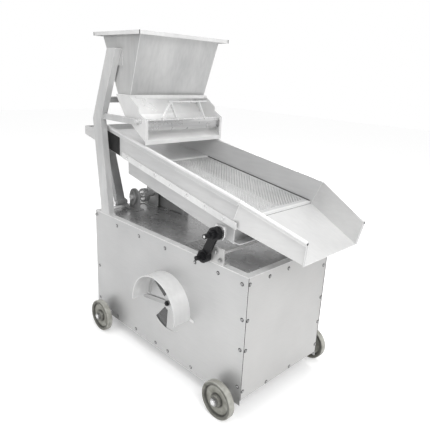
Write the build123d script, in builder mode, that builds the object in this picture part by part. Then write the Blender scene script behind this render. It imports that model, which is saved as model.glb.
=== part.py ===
from build123d import *
from math import atan, atan2, cos, degrees, hypot, radians, sin
import os

# Spice cleaning machine, in millimetres.
# The origin lies on the floor, on the centre plane; +X is the discharge end and -Y the fan side.

# Running and seating clearances
running_fit = 0.08
seat_gap = 0.3
side_gap = 0.5

# Cabinet
cabinet_length = 1007.0
cabinet_width = 500.0
cabinet_rear = -491.0
cabinet_bottom = 81.0
cabinet_top = 585.0
side_skirt = 23.0
sheet = 1.5
angle_leg = 30.0
angle_wall = 3.0
frame_bottom = 96.0
deck_sheet = 2.0
rail_height = 25.0
rail_width = 40.0
rail_spread = 60.0
half_width = cabinet_width / 2
cabinet_front = cabinet_rear + cabinet_length
cabinet_middle = (cabinet_front + cabinet_rear) / 2
frame_length = cabinet_length - 2 * sheet
frame_width = cabinet_width - 2 * sheet
deck_top = cabinet_top - angle_wall
rail_top = frame_bottom + angle_wall + rail_height

# Wheels and axles
wheel_radius = 76.5
wheel_width = 27.0
wheel_inner_face = half_width + 39.5
hub_radius = 24.0
hub_overhang = 4.0
wheel_web = 9.0
rim_thickness = 14.0
axle_radius = 10.0
axle_tip = wheel_inner_face + 43.5
axle_front = cabinet_front - 64.0
axle_rear = cabinet_rear + 120.0
collar_radius = 15.0
bracket_width = 44.0
bracket_thickness = 18.0
nut_thickness = 9.0
wheel_centre = wheel_inner_face + wheel_width / 2
hub_inner = wheel_inner_face - hub_overhang
hub_outer = wheel_inner_face + wheel_width + hub_overhang

# Fan inlet, hood and air shutter on the near side panel
fan_x = 82.0
fan_z = 311.0
hood_radius = 142.0
hood_sheet = 3.0
hood_depth = 83.0
hood_start = -8.0
hood_end = 183.0
ear_width = 24.0
ear_length = 26.0
window_outer = 124.0
window_inner = 24.0
window_angle = 78.0
window_first = 268.0
blade_angle = 84.0
blade_first = 307.0
blade_outer = 130.0
shutter_hub = 34.0
spindle_radius = 6.0
lever_angle = 189.0
lever_width = 20.0
lever_reach = 166.0
lever_thickness = 3.0
spindle_head = 4.0
spindle_nut = 8.0
spindle_tip = 14.0
nut_flat_radius = 11.0

# Blower
scroll_front = 242.0
scroll_width = 130.0
scroll_start_radius = 148.0
scroll_growth = 46.0
scroll_sheet = 2.0
inlet_radius = 112.0
duct_width = 150.0
impeller_radius = 126.0
impeller_width = 96.0
impeller_eye = 84.0
blade_count = 8
blade_sheet = 2.5
blade_lean = 28.0
impeller_hub_radius = 28.0
impeller_hub_length = 46.0
fan_shaft_radius = 12.0
fan_shaft_end = 62.0
fan_bearing_places = (-72.0, 4.0)
bearing_height = 42.0
bearing_foot_length = 116.0
bearing_foot_height = 14.0
bearing_boss = 31.0
bearing_depth = 28.0
pedestal_plate = 5.0
pedestal_width = 150.0
pedestal_depth = 112.0

# Drive
motor_x = -215.0
motor_z = 214.0
motor_radius = 78.0
motor_length = 190.0
motor_front = 16.0
motor_shaft_radius = 11.0
motor_shaft_length = 58.0
fin_count = 20
fin_sheet = 2.5
fin_height = 10.0
end_bell_length = 34.0
terminal_box = (74.0, 36.0)
belt_height = 8.0
belt_width = 9.0
groove_depth = 11.0
pulley_width = 20.0
fan_belt_plane = 44.0
drive_belt_plane = 66.0
fan_pulley_radius = 62.0
motor_pulley_radius = 46.0
drive_pulley_radius = 70.0
eccentric_x = -404.0
eccentric_z = 646.0
eccentric_throw = 3.0
eccentric_radius = 24.0
eccentric_shaft_radius = 12.5
eccentric_width = 22.0
eccentric_plane = -24.0
strap_radius = 35.0
stand_places = (-78.0, 34.0)
stand_plate = 6.0
stand_width = 84.0
flange_bearing_width = 12.0
bearing_long = 84.0
bearing_short = 54.0
bearing_ear = 11.0
stand_foot = 24.0
shaft_stub = 14.0

# Posts and hopper carriers
post_width = 66.0
post_thickness = 30.0
post_wall = 3.0
post_foot = 5.0
post_base_x = -402.0
post_bend_x = -456.0
post_bend_z = 1031.0
post_top_x = -324.0
post_top_z = 1334.0
post_inner_face = half_width - post_thickness
bar_bottom = 1031.0
bar_height = 26.0
bar_thickness = 14.0
bar_end = -262.0
tie_bottom = 1104.0
tie_thickness = 12.0
cleat_front = -286.0
cleat_rear = -322.0
cleat_bottom = post_top_z - 66.0

# Hopper
hopper_sheet = 2.0
rim_rear = -464.0
rim_front = -124.0
rim_half = half_width - 4.0
rim_top = post_top_z + 67.0
rim_depth = 15.0
mouth_rear = -437.0
mouth_front = -155.0
mouth_half = half_width - 31.5
throat_z = 1148.0
throat_rear = -336.0
throat_front = -240.0
throat_half = half_width - 38.0
throat_flange = (14.0, 10.0)
throat_wall = 2.0

# Feed box under the hopper
cheek_half = half_width - 28.0
cheek_sheet = 2.0
cheek_flange = 13.0
slide_bend = (-272.0, 1062.0)
slide_foot = (-121.5, 965.25)
cheek_toe = (-117.0, 951.0)
cheek_nose = (-117.0, 1056.0)
cheek_step = (-165.0, 1081.0)
cheek_notch = (-168.0, 1101.0)
lip_height = 16.0
gate_plate_top = 1038.0
gate_flap_foot = 1009.0
flap_side_gap = 4.3
shaft_x = -152.0
shaft_z = 1048.0
gate_shaft_radius = 6.0
shaft_overhang = 28.0
gate_bar_x = -196.0
gate_bar_z = 1122.0
gate_bar_radius = 5.0
gate_bar_span = (-40.0, 190.0)
gate_arm_places = (-28.0, 139.0)
gate_arm_width = 12.0
gate_arm_thickness = 6.0
brace_foot = -108.0
brace_width = 10.0
brace_thickness = 4.0

# Inclined tray
tray_slope = 0.1655
rim_height_at_origin = 925.2
tray_taper = 0.0593
rim_half_at_origin = half_width - 19.6
tray_rear = -694.0
tray_bend = 456.0
high_wall_rear = -484.0
low_wall_top = 970.0
tray_sheet = 2.0
rim_bead_height = 22.0
rim_bead_width = 10.0
floor_drop = 98.0
wall_drop = 112.0
ledge_width = 20.0
strip_thickness = 4.0
strip_height = 26.0
strip_rear = -320.0
strip_front = 442.0
feed_plate_end = -185.0
screen_end = 403.0
wall_toe = 412.0
slot_rows = 22
slot_columns = 9
slot_length = 34.0
slot_width = 5.0

# Discharge chute
chute_sheet = 2.0
bend_gap = 0.8
chute_floor_start = (413.0, 747.0)
chute_floor_half = half_width - 6.5
chute_rim_start = (456.0, 849.7)
chute_rim_half = half_width - 1.0
lip_floor = (678.0, 662.0)
lip_floor_half = half_width - 86.0
lip_rim = (692.0, 754.0)
lip_rim_half = half_width - 72.0
chute_bead_width = 8.0
chute_bead_height = 16.0

# Subframe of folded channels under the tray
channel_drop = 169.0
channel_wall = 3.0
channel_flange = 26.0
channel_rear = -275.0
channel_front = 430.0
cross_rear = -262.0
cross_front = 414.0
nose_flange = 44.0

# Front rocker arms
rocker_low = (cabinet_front - 206.0, 607.0)
rocker_high = (rocker_low[0] + 51.0, 708.0)
rocker_centre = half_width + 17.0
rocker_width = 24.0
rocker_eye_radius = 25.0
rocker_bar_width = 32.0
rocker_bar_thickness = 15.0
rocker_bolt_radius = 9.0
bolt_head_radius = 14.0
bolt_head_height = 18.0
bolt_tip = half_width + 72.0
base_plate_rear = rocker_low[0] - 28.0
base_plate_front = rocker_low[0] + 82.0
base_plate_height = 66.0
base_plate_thickness = 6.0
base_foot = 34.0
tie_height = 26.0
tie_wall = 3.0
tie_fold = 8.0
lower_head_height = 9.0

# Rear legs
leg_low = (-462.0, 612.0)
leg_high = (-555.0, 880.0)
leg_inner_face = 105.0
leg_breadth = 48.0
leg_depth = 26.0
leg_wall = 4.0
leg_bolt_radius = 7.0
leg_lug = 6.0
leg_lug_width = 40.0
leg_foot_length = 76.0
leg_foot_width = 14.0
foot_sheet = 4.0
leg_nut_height = 8.0

# Drop bracket and connecting rod
rod_pin = (-292.0, 700.0)
rod_eye_radius = 17.0
rod_pin_radius = 8.0
drop_plate = 8.0
drop_width = 46.0


def keep(piece, label):
    piece.part.label = label
    export_step(piece.part, f"parts/{label}.step")


def rim_z(x):
    return rim_height_at_origin - tray_slope * x


def rim_half_at(x):
    return rim_half_at_origin + tray_taper * x


def outline(*points):
    Polygon(*points, align=None)


def belt_loop(first, first_radius, second, second_radius):
    with Locations(first):
        Circle(first_radius)
    with Locations(second):
        Circle(second_radius)
    make_hull()


def bar_outline(first, second, width):
    # A straight bar between two pivots, as a rectangle turned onto their line.
    length = hypot(second[0] - first[0], second[1] - first[1])
    turn = degrees(atan2(second[1] - first[1], second[0] - first[0]))
    with Locations(Location(((first[0] + second[0]) / 2, (first[1] + second[1]) / 2), turn)):
        Rectangle(length, width)


def sector(inner, outer, start, sweep):
    # A ring sector about the sketch origin, its angles counted from local x.
    low = Edge.make_circle(inner, start_angle=start, end_angle=start + sweep)
    high = Edge.make_circle(outer, start_angle=start, end_angle=start + sweep)
    first = Edge.make_line(low @ 0, high @ 0)
    last = Edge.make_line(low @ 1, high @ 1)
    add(Face(Wire([low, last, high, first])))


os.makedirs("parts", exist_ok=True)

# Cabinet frame: two rings of steel angle, corner angles, cross rails and axle brackets
with BuildPart() as base_frame:
    for flange_z, web_z in ((deck_top, cabinet_top - angle_leg), (frame_bottom, frame_bottom)):
        for level, height, inset in ((flange_z, angle_wall, angle_leg), (web_z, angle_leg, angle_wall)):
            with BuildSketch(Plane.XY.offset(level)):
                with Locations((cabinet_middle, 0)):
                    Rectangle(frame_length, frame_width)
                    Rectangle(frame_length - 2 * inset, frame_width - 2 * inset, mode=Mode.SUBTRACT)
            extrude(amount=height)
    with BuildSketch(Plane.XY.offset(frame_bottom)):
        with Locations((cabinet_middle, 0)):
            with GridLocations(frame_length - angle_leg, frame_width - angle_leg, 2, 2):
                Rectangle(angle_leg, angle_leg)
        with Locations((cabinet_middle, 0)):
            Rectangle(frame_length - 2 * angle_wall, frame_width - 2 * angle_wall, mode=Mode.SUBTRACT)
    extrude(amount=cabinet_top - frame_bottom)
    rail_places = (fan_x - rail_spread, fan_x + rail_spread, motor_x - rail_spread, motor_x + rail_spread)
    with BuildSketch(Plane.XZ):
        with Locations(*[(x, rail_top - rail_height / 2) for x in rail_places]):
            Rectangle(rail_width, rail_height)
            Rectangle(rail_width - 2 * angle_wall, rail_height - 2 * angle_wall, mode=Mode.SUBTRACT)
    extrude(amount=frame_width / 2 - angle_wall, both=True)
    for side in (-1, 1):
        bracket_middle = side * (frame_width / 2 - angle_leg + bracket_thickness / 2)
        with BuildSketch(Plane.XZ.offset(-bracket_middle)):
            for axle_x in (axle_front, axle_rear):
                with Locations((axle_x, (frame_bottom + wheel_radius) / 2)):
                    Rectangle(bracket_width, frame_bottom - wheel_radius)
                with Locations((axle_x, wheel_radius)):
                    Circle(bracket_width / 2)
                    Circle(axle_radius + running_fit, mode=Mode.SUBTRACT)
        extrude(amount=bracket_thickness / 2, both=True)
keep(base_frame, "base_frame")

# Near side panel with the three sector windows of the fan inlet
with BuildPart() as fan_side_panel:
    with BuildSketch(Plane.XZ.offset(half_width - sheet)):
        with Locations((cabinet_middle, (cabinet_top + cabinet_bottom - side_skirt) / 2)):
            Rectangle(cabinet_length, cabinet_top - cabinet_bottom + side_skirt)
        with Locations((axle_front, wheel_radius), (axle_rear, wheel_radius)):
            Circle(axle_radius + 2, mode=Mode.SUBTRACT)
        with Locations((fan_x, fan_z)):
            Circle(spindle_radius + running_fit, mode=Mode.SUBTRACT)
    extrude(amount=sheet)
    with BuildSketch(Plane((fan_x, -half_width, fan_z), x_dir=(1, 0, 0), z_dir=(0, -1, 0))):
        for turn in (0, 120, 240):
            sector(window_inner, window_outer, window_first - window_angle / 2 + turn, window_angle)
    extrude(amount=-2 * sheet, mode=Mode.SUBTRACT)
keep(fan_side_panel, "fan_side_panel")

with BuildPart() as far_side_panel:
    with BuildSketch(Plane.XZ.offset(-half_width)):
        with Locations((cabinet_middle, (cabinet_top + cabinet_bottom - side_skirt) / 2)):
            Rectangle(cabinet_length, cabinet_top - cabinet_bottom + side_skirt)
        with Locations((axle_front, wheel_radius), (axle_rear, wheel_radius)):
            Circle(axle_radius + 2, mode=Mode.SUBTRACT)
    extrude(amount=sheet)
keep(far_side_panel, "far_side_panel")

# End panels stand between the side panels
for end_face, label in ((cabinet_front - sheet, "discharge_end_panel"), (cabinet_rear, "rear_end_panel")):
    with BuildPart() as end_panel:
        with BuildSketch(Plane.YZ.offset(end_face)):
            with Locations((0, (cabinet_top + cabinet_bottom) / 2)):
                Rectangle(cabinet_width - 2 * sheet, cabinet_top - cabinet_bottom)
        extrude(amount=sheet)
    keep(end_panel, label)

# Deck plate under the top flanges, with the blower outlet and the belt slot
duct_left = fan_x + scroll_start_radius + scroll_growth - duct_width
duct_right = duct_left + duct_width
scroll_middle = -scroll_front + scroll_width / 2
slot_front = motor_x - 10
slot_rear = eccentric_x - 52
with BuildPart() as top_deck:
    with BuildSketch(Plane.XY.offset(deck_top - deck_sheet)):
        with Locations((cabinet_middle, 0)):
            Rectangle(frame_length - 2 * angle_wall - 1, frame_width - 2 * angle_wall - 1)
        with Locations(((duct_left + duct_right) / 2, scroll_middle)):
            Rectangle(duct_width - 2 * scroll_sheet, scroll_width - 2 * scroll_sheet, mode=Mode.SUBTRACT)
        with Locations(((slot_front + slot_rear) / 2, drive_belt_plane)):
            Rectangle(slot_front - slot_rear, pulley_width + 8, mode=Mode.SUBTRACT)
    extrude(amount=deck_sheet)
keep(top_deck, "top_deck")

# Half round hood over the inlet, with an ear at each end bolted to the panel
hood_plane = Plane((fan_x, -half_width, fan_z), x_dir=(1, 0, 0), z_dir=(0, -1, 0))
with BuildPart() as inlet_hood:
    with BuildSketch(hood_plane):
        sector(hood_radius - hood_sheet, hood_radius, hood_start, hood_end - hood_start)
    extrude(amount=hood_depth)
    with BuildSketch(hood_plane):
        for end_angle, inward in ((hood_start, 1), (hood_end, -1)):
            turn = radians(end_angle)
            middle = hood_radius - hood_sheet / 2 + ear_length / 2
            with Locations(Location((middle * cos(turn) - inward * 6 * sin(turn),
                                     middle * sin(turn) + inward * 6 * cos(turn)), end_angle)):
                Rectangle(ear_length, ear_width / 2)
    extrude(amount=hood_sheet)
keep(inlet_hood, "inlet_hood")

# Air shutter of three blades behind the panel, turned by a lever in front of it
blade_plane = Plane((fan_x, -half_width + sheet + seat_gap, fan_z), x_dir=(1, 0, 0), z_dir=(0, -1, 0))
with BuildPart() as air_shutter:
    with BuildSketch(blade_plane):
        Circle(shutter_hub)
        for turn in (0, 120, 240):
            sector(shutter_hub - 4, blade_outer, blade_first - blade_angle / 2 + turn, blade_angle)
        Circle(spindle_radius + running_fit, mode=Mode.SUBTRACT)
    extrude(amount=-sheet)
keep(air_shutter, "air_shutter")

lever_plane = hood_plane.offset(seat_gap)
with BuildPart() as shutter_lever:
    turn = radians(lever_angle)
    with BuildSketch(lever_plane):
        bar_outline((0, 0), (lever_reach * cos(turn), lever_reach * sin(turn)), lever_width)
        Circle(lever_width / 2 + 2)
        with Locations((lever_reach * cos(turn), lever_reach * sin(turn))):
            Circle(lever_width / 2)
        Circle(spindle_radius + running_fit, mode=Mode.SUBTRACT)
    extrude(amount=lever_thickness)
keep(shutter_lever, "shutter_lever")

# Spindle of the shutter: a bolt head behind the blades and a nut in front of the lever
spindle_back = 2 * sheet + 2 * seat_gap
spindle_front = seat_gap + lever_thickness + seat_gap
with BuildPart() as shutter_spindle:
    with BuildSketch(hood_plane.offset(-spindle_back - spindle_head)):
        Circle(nut_flat_radius)
    extrude(amount=spindle_head)
    with BuildSketch(hood_plane.offset(-spindle_back - spindle_head)):
        Circle(spindle_radius)
    extrude(amount=spindle_back + spindle_front + spindle_tip)
    with BuildSketch(hood_plane.offset(spindle_front)):
        RegularPolygon(nut_flat_radius, 6)
    extrude(amount=spindle_nut)
keep(shutter_spindle, "shutter_spindle")

# Axles with a collar inside each wheel, and nuts on their ends
for axle_x, label in ((axle_front, "front_axle"), (axle_rear, "rear_axle")):
    with BuildPart() as axle:
        with BuildSketch(Plane((axle_x, 0, wheel_radius), x_dir=(1, 0, 0), z_dir=(0, -1, 0))):
            Circle(axle_radius)
        extrude(amount=axle_tip, both=True)
        for side in (-1, 1):
            collar_centre = (axle_x, side * (hub_inner - seat_gap), wheel_radius)
            with BuildSketch(Plane(collar_centre, x_dir=(1, 0, 0), z_dir=(0, -side, 0))):
                Circle(collar_radius)
            extrude(amount=hub_inner - half_width - 4)
        chamfer(axle.edges().filter_by(GeomType.CIRCLE).group_by(Axis.Y)[0], 1.5)
        chamfer(axle.edges().filter_by(GeomType.CIRCLE).group_by(Axis.Y)[-1], 1.5)
    keep(axle, label)

with BuildPart() as hub_nuts:
    for side in (-1, 1):
        with BuildSketch(Plane((0, side * (hub_outer + seat_gap), 0), x_dir=(1, 0, 0), z_dir=(0, side, 0))):
            with Locations((axle_front, -side * wheel_radius), (axle_rear, -side * wheel_radius)):
                RegularPolygon(hub_radius - 7, 6)
                Circle(axle_radius + running_fit, mode=Mode.SUBTRACT)
        extrude(amount=nut_thickness)
keep(hub_nuts, "hub_nuts")

# Cast wheels: thick tyre band, recessed web and stepped hub, turned about the axle
wheel_places = {
    "wheel_front_near": (axle_front, -1),
    "wheel_front_far": (axle_front, 1),
    "wheel_rear_near": (axle_rear, -1),
    "wheel_rear_far": (axle_rear, 1),
}
band_inner = wheel_radius - rim_thickness
half_wheel = wheel_width / 2
half_hub = half_wheel + hub_overhang
for label, (axle_x, side) in wheel_places.items():
    centre = (axle_x, side * wheel_centre, wheel_radius)
    with BuildPart() as wheel:
        with BuildSketch(Plane(centre, x_dir=(1, 0, 0), z_dir=(0, 0, 1))):
            outline(
                (axle_radius + running_fit, -half_hub),
                (hub_radius - 4, -half_hub),
                (hub_radius, -half_wheel),
                (hub_radius + 3, -wheel_web / 2),
                (band_inner - 4, -wheel_web / 2),
                (band_inner, -half_wheel + 2),
                (wheel_radius - 3, -half_wheel),
                (wheel_radius, -half_wheel + 3),
                (wheel_radius, half_wheel - 3),
                (wheel_radius - 3, half_wheel),
                (band_inner, half_wheel - 2),
                (band_inner - 4, wheel_web / 2),
                (hub_radius + 3, wheel_web / 2),
                (hub_radius, half_wheel),
                (hub_radius - 4, half_hub),
                (axle_radius + running_fit, half_hub),
            )
        revolve(axis=Axis(centre, (0, 1, 0)))
    keep(wheel, label)

# Cranked posts of rectangular tube, open at the top, each on a foot plate
half_post = post_width / 2
post_centres = ((post_base_x, cabinet_top + post_foot), (post_bend_x, post_bend_z), (post_top_x, post_top_z))


def post_outline(half, top_rise):
    left = [(x - half, z) for x, z in post_centres]
    right = [(x + half, z) for x, z in reversed(post_centres)]
    left[-1] = (left[-1][0], left[-1][1] + top_rise)
    right[0] = (right[0][0], right[0][1] + top_rise)
    outline(*left, *right)


for side, label in ((-1, "near_post"), (1, "far_post")):
    post_middle = side * (half_width - post_thickness / 2)
    with BuildPart() as post:
        with BuildSketch(Plane.XZ.offset(-post_middle)):
            post_outline(half_post, 0)
        extrude(amount=post_thickness / 2, both=True)
        with BuildSketch(Plane.XZ.offset(-post_middle)):
            post_outline(half_post - post_wall, 0.01)
        extrude(amount=post_thickness / 2 - post_wall, both=True, mode=Mode.SUBTRACT)
        with BuildSketch(Plane.XY.offset(cabinet_top)):
            with Locations((post_base_x, post_middle)):
                Rectangle(post_width + 16, post_thickness)
        extrude(amount=post_foot)
    keep(post, label)

# Bars from the posts to the feed box cheeks, and a tie between the posts above them
post_lean = (post_top_x - post_bend_x) / (post_top_z - post_bend_z)
bar_top = bar_bottom + bar_height


def post_front(z):
    return post_bend_x + half_post + post_lean * (z - post_bend_z)


with BuildPart() as hopper_bars:
    for side in (-1, 1):
        bar_middle = side * (cheek_half + seat_gap + bar_thickness / 2)
        with BuildSketch(Plane.XZ.offset(-bar_middle)):
            outline(
                (post_front(bar_bottom) + seat_gap, bar_bottom),
                (bar_end, bar_bottom),
                (bar_end, bar_top),
                (post_front(bar_top) + seat_gap, bar_top),
            )
        extrude(amount=bar_thickness / 2, both=True)
    with BuildSketch(Plane.XZ):
        with Locations((post_front(tie_bottom) - half_post, tie_bottom + bar_height / 2)):
            Rectangle(tie_thickness, bar_height)
    extrude(amount=post_inner_face - seat_gap, both=True)
keep(hopper_bars, "hopper_bars")

# Hopper: a four sided funnel of sheet, open at both ends
mouth_z = rim_top - hopper_sheet
mouth_length = mouth_front - mouth_rear
throat_length = throat_front - throat_rear
with BuildPart() as hopper_shell:
    for inset, mode in ((0, Mode.ADD), (hopper_sheet, Mode.SUBTRACT)):
        with BuildSketch(Plane.XY.offset(throat_z)):
            with Locations(((throat_front + throat_rear) / 2, 0)):
                Rectangle(throat_length - 2 * inset, 2 * (throat_half - inset))
        with BuildSketch(Plane.XY.offset(mouth_z)):
            with Locations(((mouth_front + mouth_rear) / 2, 0)):
                Rectangle(mouth_length - 2 * inset, 2 * (mouth_half - inset))
        loft(mode=mode)
keep(hopper_shell, "hopper_shell")

# Rim: a flat flange round the mouth with its outer edge folded down
rim_middle = (rim_front + rim_rear) / 2
rim_length = rim_front - rim_rear
with BuildPart() as hopper_rim:
    with BuildSketch(Plane.XY.offset(rim_top - rim_depth)):
        with Locations((rim_middle, 0)):
            Rectangle(rim_length, 2 * rim_half)
            Rectangle(rim_length - 2 * hopper_sheet, 2 * (rim_half - hopper_sheet), mode=Mode.SUBTRACT)
    extrude(amount=rim_depth)
    with BuildSketch(Plane.XY.offset(mouth_z)):
        with Locations((rim_middle, 0)):
            Rectangle(rim_length, 2 * rim_half)
        with Locations(((mouth_front + mouth_rear) / 2, 0)):
            Rectangle(mouth_length - 2 * hopper_sheet, 2 * (mouth_half - hopper_sheet), mode=Mode.SUBTRACT)
    extrude(amount=hopper_sheet)
    fillet(hopper_rim.edges().filter_by(Axis.Z).filter_by(lambda e: abs(e.center().Y) > rim_half - 0.1), 1.9)
keep(hopper_rim, "hopper_rim")

# Cleats between the hopper sides and the posts, following the taper of the hopper
side_taper = (mouth_half - throat_half) / (mouth_z - throat_z)


def hopper_half(z):
    return throat_half + side_taper * (z - throat_z)


with BuildPart() as hopper_cleats:
    for side in (-1, 1):
        with BuildSketch(Plane.YZ.offset(cleat_rear)):
            outline(
                (side * (post_inner_face - seat_gap), cleat_bottom),
                (side * (post_inner_face - seat_gap), post_top_z),
                (side * (hopper_half(post_top_z) + seat_gap), post_top_z),
                (side * (hopper_half(cleat_bottom) + seat_gap), cleat_bottom),
            )
        extrude(amount=cleat_front - cleat_rear)
keep(hopper_cleats, "hopper_cleats")

# Feed box: two cheeks with folded front edges, a sloping slide plate and a flange at the throat
box_top = throat_z - seat_gap
cheek_points = (
    (throat_rear, box_top),
    slide_bend,
    slide_foot,
    cheek_toe,
    cheek_nose,
    cheek_step,
    cheek_notch,
    (throat_front, box_top),
)
with BuildPart() as feed_box:
    for side in (-1, 1):
        with BuildSketch(Plane.XZ.offset(-side * (cheek_half - cheek_sheet / 2))):
            outline(*cheek_points)
        extrude(amount=cheek_sheet / 2, both=True)
    with BuildSketch(Plane.XZ):
        with BuildLine():
            slide_line = Polyline((throat_rear + 1.5, box_top - 2), slide_bend, slide_foot)
            offset(slide_line, amount=cheek_sheet, side=Side.LEFT)
        make_face()
    extrude(amount=cheek_half - cheek_sheet, both=True)
    with BuildSketch(Plane.XZ):
        with Locations((throat_front + throat_flange[0] / 2, box_top - throat_flange[1] / 2)):
            Rectangle(*throat_flange)
            with Locations((-throat_wall, -throat_wall)):
                Rectangle(*throat_flange, mode=Mode.SUBTRACT)
    extrude(amount=cheek_half - cheek_sheet, both=True)
    for side in (-1, 1):
        with BuildSketch(Plane.YZ.offset(cheek_nose[0] - cheek_sheet)):
            with Locations((side * (cheek_half - cheek_flange / 2), (cheek_toe[1] + cheek_nose[1]) / 2)):
                Rectangle(cheek_flange, cheek_nose[1] - cheek_toe[1] - 2 * cheek_sheet)
        extrude(amount=cheek_sheet)
    with Locations(Location((shaft_x, 0, shaft_z), (90, 0, 0))):
        Hole(gate_shaft_radius + running_fit)
keep(feed_box, "feed_box")

# Low lip across the foot of the slide, between the folded edges of the cheeks
lip_face = cheek_toe[0] - 1
flap_half = cheek_half - cheek_sheet - flap_side_gap
with BuildPart() as front_plate:
    with BuildSketch(Plane.XZ):
        outline(
            (lip_face, cheek_toe[1] + cheek_sheet),
            (lip_face, cheek_toe[1] + cheek_sheet + lip_height),
            (lip_face - cheek_sheet, cheek_toe[1] + cheek_sheet + lip_height),
            (lip_face - cheek_sheet, cheek_toe[1] + cheek_sheet),
        )
    extrude(amount=cheek_half - cheek_flange - seat_gap, both=True)
keep(front_plate, "front_plate")

# Feed gate: a flap hung from the gate shaft over the slide
gate_face = lip_face - 12
gate_hub_radius = gate_arm_width / 2 + 4
with BuildPart() as feed_gate:
    with BuildSketch(Plane.XZ):
        outline(
            (shaft_x + gate_shaft_radius + running_fit, shaft_z - 1),
            (shaft_x + gate_shaft_radius + running_fit, shaft_z + 1),
            (gate_face, gate_plate_top + 2),
            (gate_face, gate_flap_foot),
            (gate_face - cheek_sheet, gate_flap_foot),
            (gate_face - cheek_sheet, gate_plate_top),
        )
    extrude(amount=flap_half, both=True)
    for place in (brace_foot, *gate_arm_places):
        with BuildSketch(Plane.XZ.offset(-place)):
            with Locations((shaft_x, shaft_z)):
                Circle(gate_hub_radius + seat_gap)
        extrude(amount=gate_arm_thickness / 2 + seat_gap, both=True, mode=Mode.SUBTRACT)
keep(feed_gate, "feed_gate")

with BuildPart() as gate_shaft:
    with BuildSketch(Plane((shaft_x, 0, shaft_z), x_dir=(1, 0, 0), z_dir=(0, -1, 0))):
        Circle(gate_shaft_radius)
    extrude(amount=cheek_half + shaft_overhang, both=True)
    for side in (-1, 1):
        collar_face = side * (cheek_half + seat_gap)
        with BuildSketch(Plane((shaft_x, collar_face, shaft_z), x_dir=(1, 0, 0), z_dir=(0, side, 0))):
            Circle(gate_shaft_radius + 4)
        extrude(amount=10)
keep(gate_shaft, "gate_shaft")

# Two arms from the shaft to the gate's upper bar, and a brace across to a third hub
arm_run = gate_bar_x - shaft_x
arm_rise = gate_bar_z - shaft_z
arm_length = hypot(arm_run, arm_rise)
brace_plane = Plane(origin=(shaft_x, 0, shaft_z), x_dir=(0, 1, 0), z_dir=(arm_rise, 0, -arm_run))
with BuildPart() as gate_arms:
    for place in gate_arm_places:
        with BuildSketch(Plane.XZ.offset(-place)):
            bar_outline((shaft_x, shaft_z), (gate_bar_x, gate_bar_z), gate_arm_width)
        extrude(amount=gate_arm_thickness / 2, both=True)
    for place in (brace_foot, *gate_arm_places):
        with BuildSketch(Plane.XZ.offset(-place)):
            with Locations((shaft_x, shaft_z)):
                Circle(gate_hub_radius)
        extrude(amount=gate_arm_thickness / 2, both=True)
    with BuildSketch(brace_plane):
        bar_outline((brace_foot, 0), (gate_arm_places[0], arm_length), brace_width)
    extrude(amount=brace_thickness / 2, both=True)
    with BuildSketch(Plane.XZ.offset(-gate_bar_span[0])):
        with Locations((gate_bar_x, gate_bar_z)):
            Circle(gate_bar_radius)
    extrude(amount=gate_bar_span[0] - gate_bar_span[1])
    with BuildSketch(Plane.XZ):
        with Locations((shaft_x, shaft_z)):
            Circle(gate_shaft_radius + running_fit)
    extrude(amount=cheek_half, both=True, mode=Mode.SUBTRACT)
keep(gate_arms, "gate_arms")

# Inclined tray. Its sides open out towards the discharge end and its floor falls that way.
fall = atan(tray_slope)
spread_length = hypot(1, tray_taper)
wall_half = rim_half_at_origin - rim_bead_width
ledge_drop = floor_drop + tray_sheet + side_gap
toe_run = tray_bend - wall_toe


def side_wall_plane(side, half_at_origin):
    # Upright plane along one tapered side: local x runs forward and local y up.
    return Plane(
        origin=(0, side * half_at_origin, 0),
        x_dir=(1, side * tray_taper, 0),
        z_dir=(side * tray_taper, -1, 0),
    )


def band_end(drop):
    # The wall's front edge leans back from the rim to the toe.
    return tray_bend - toe_run * drop / wall_drop


def band(rear, front, upper_drop, lower_drop, lower_front=None):
    lower_front = front if lower_front is None else lower_front
    corners = ((rear, upper_drop), (front, upper_drop), (lower_front, lower_drop), (rear, lower_drop))
    outline(*[(x * spread_length, rim_z(x) - drop) for x, drop in corners])


with BuildPart() as tray_shell:
    for side in (-1, 1):
        wall_plane = side_wall_plane(side, wall_half)
        with BuildSketch(wall_plane):
            outline(
                (tray_rear * spread_length, low_wall_top),
                (high_wall_rear * spread_length, low_wall_top),
                (high_wall_rear * spread_length, rim_z(high_wall_rear)),
                (tray_bend * spread_length, rim_z(tray_bend)),
                (wall_toe * spread_length, rim_z(wall_toe) - wall_drop),
                (tray_rear * spread_length, rim_z(tray_rear) - wall_drop),
            )
        extrude(amount=side * tray_sheet)
        with BuildSketch(wall_plane):
            band(high_wall_rear, tray_bend, 0, tray_sheet, band_end(tray_sheet))
        extrude(amount=-side * rim_bead_width)
        with BuildSketch(side_wall_plane(side, rim_half_at_origin)):
            band(high_wall_rear, tray_bend, 0, rim_bead_height, band_end(rim_bead_height))
        extrude(amount=side * tray_sheet)
        with BuildSketch(wall_plane):
            band(tray_rear, wall_toe, ledge_drop, ledge_drop + tray_sheet)
        extrude(amount=side * (tray_sheet + ledge_width))
    rear_half = wall_half + tray_taper * tray_rear
    with BuildSketch(Plane.YZ.offset(tray_rear)):
        wall_foot = rim_z(tray_rear) - wall_drop
        with Locations((0, (low_wall_top + wall_foot) / 2)):
            Rectangle(2 * rear_half - 1, low_wall_top - wall_foot)
    extrude(amount=tray_sheet)
keep(tray_shell, "tray_shell")

# Floor pieces lie on the ledges: solid feed plate, perforated screen and end strip
floor_plane = Plane(
    origin=(0, 0, rim_z(0) - floor_drop),
    x_dir=(cos(fall), 0, -sin(fall)),
    z_dir=(sin(fall), 0, cos(fall)),
)


def floor_half(x):
    return wall_half - tray_sheet - side_gap + tray_taper * x


def floor_outline(rear, front):
    outline(
        (rear / cos(fall), -floor_half(rear)),
        (front / cos(fall), -floor_half(front)),
        (front / cos(fall), floor_half(front)),
        (rear / cos(fall), floor_half(rear)),
    )


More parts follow.
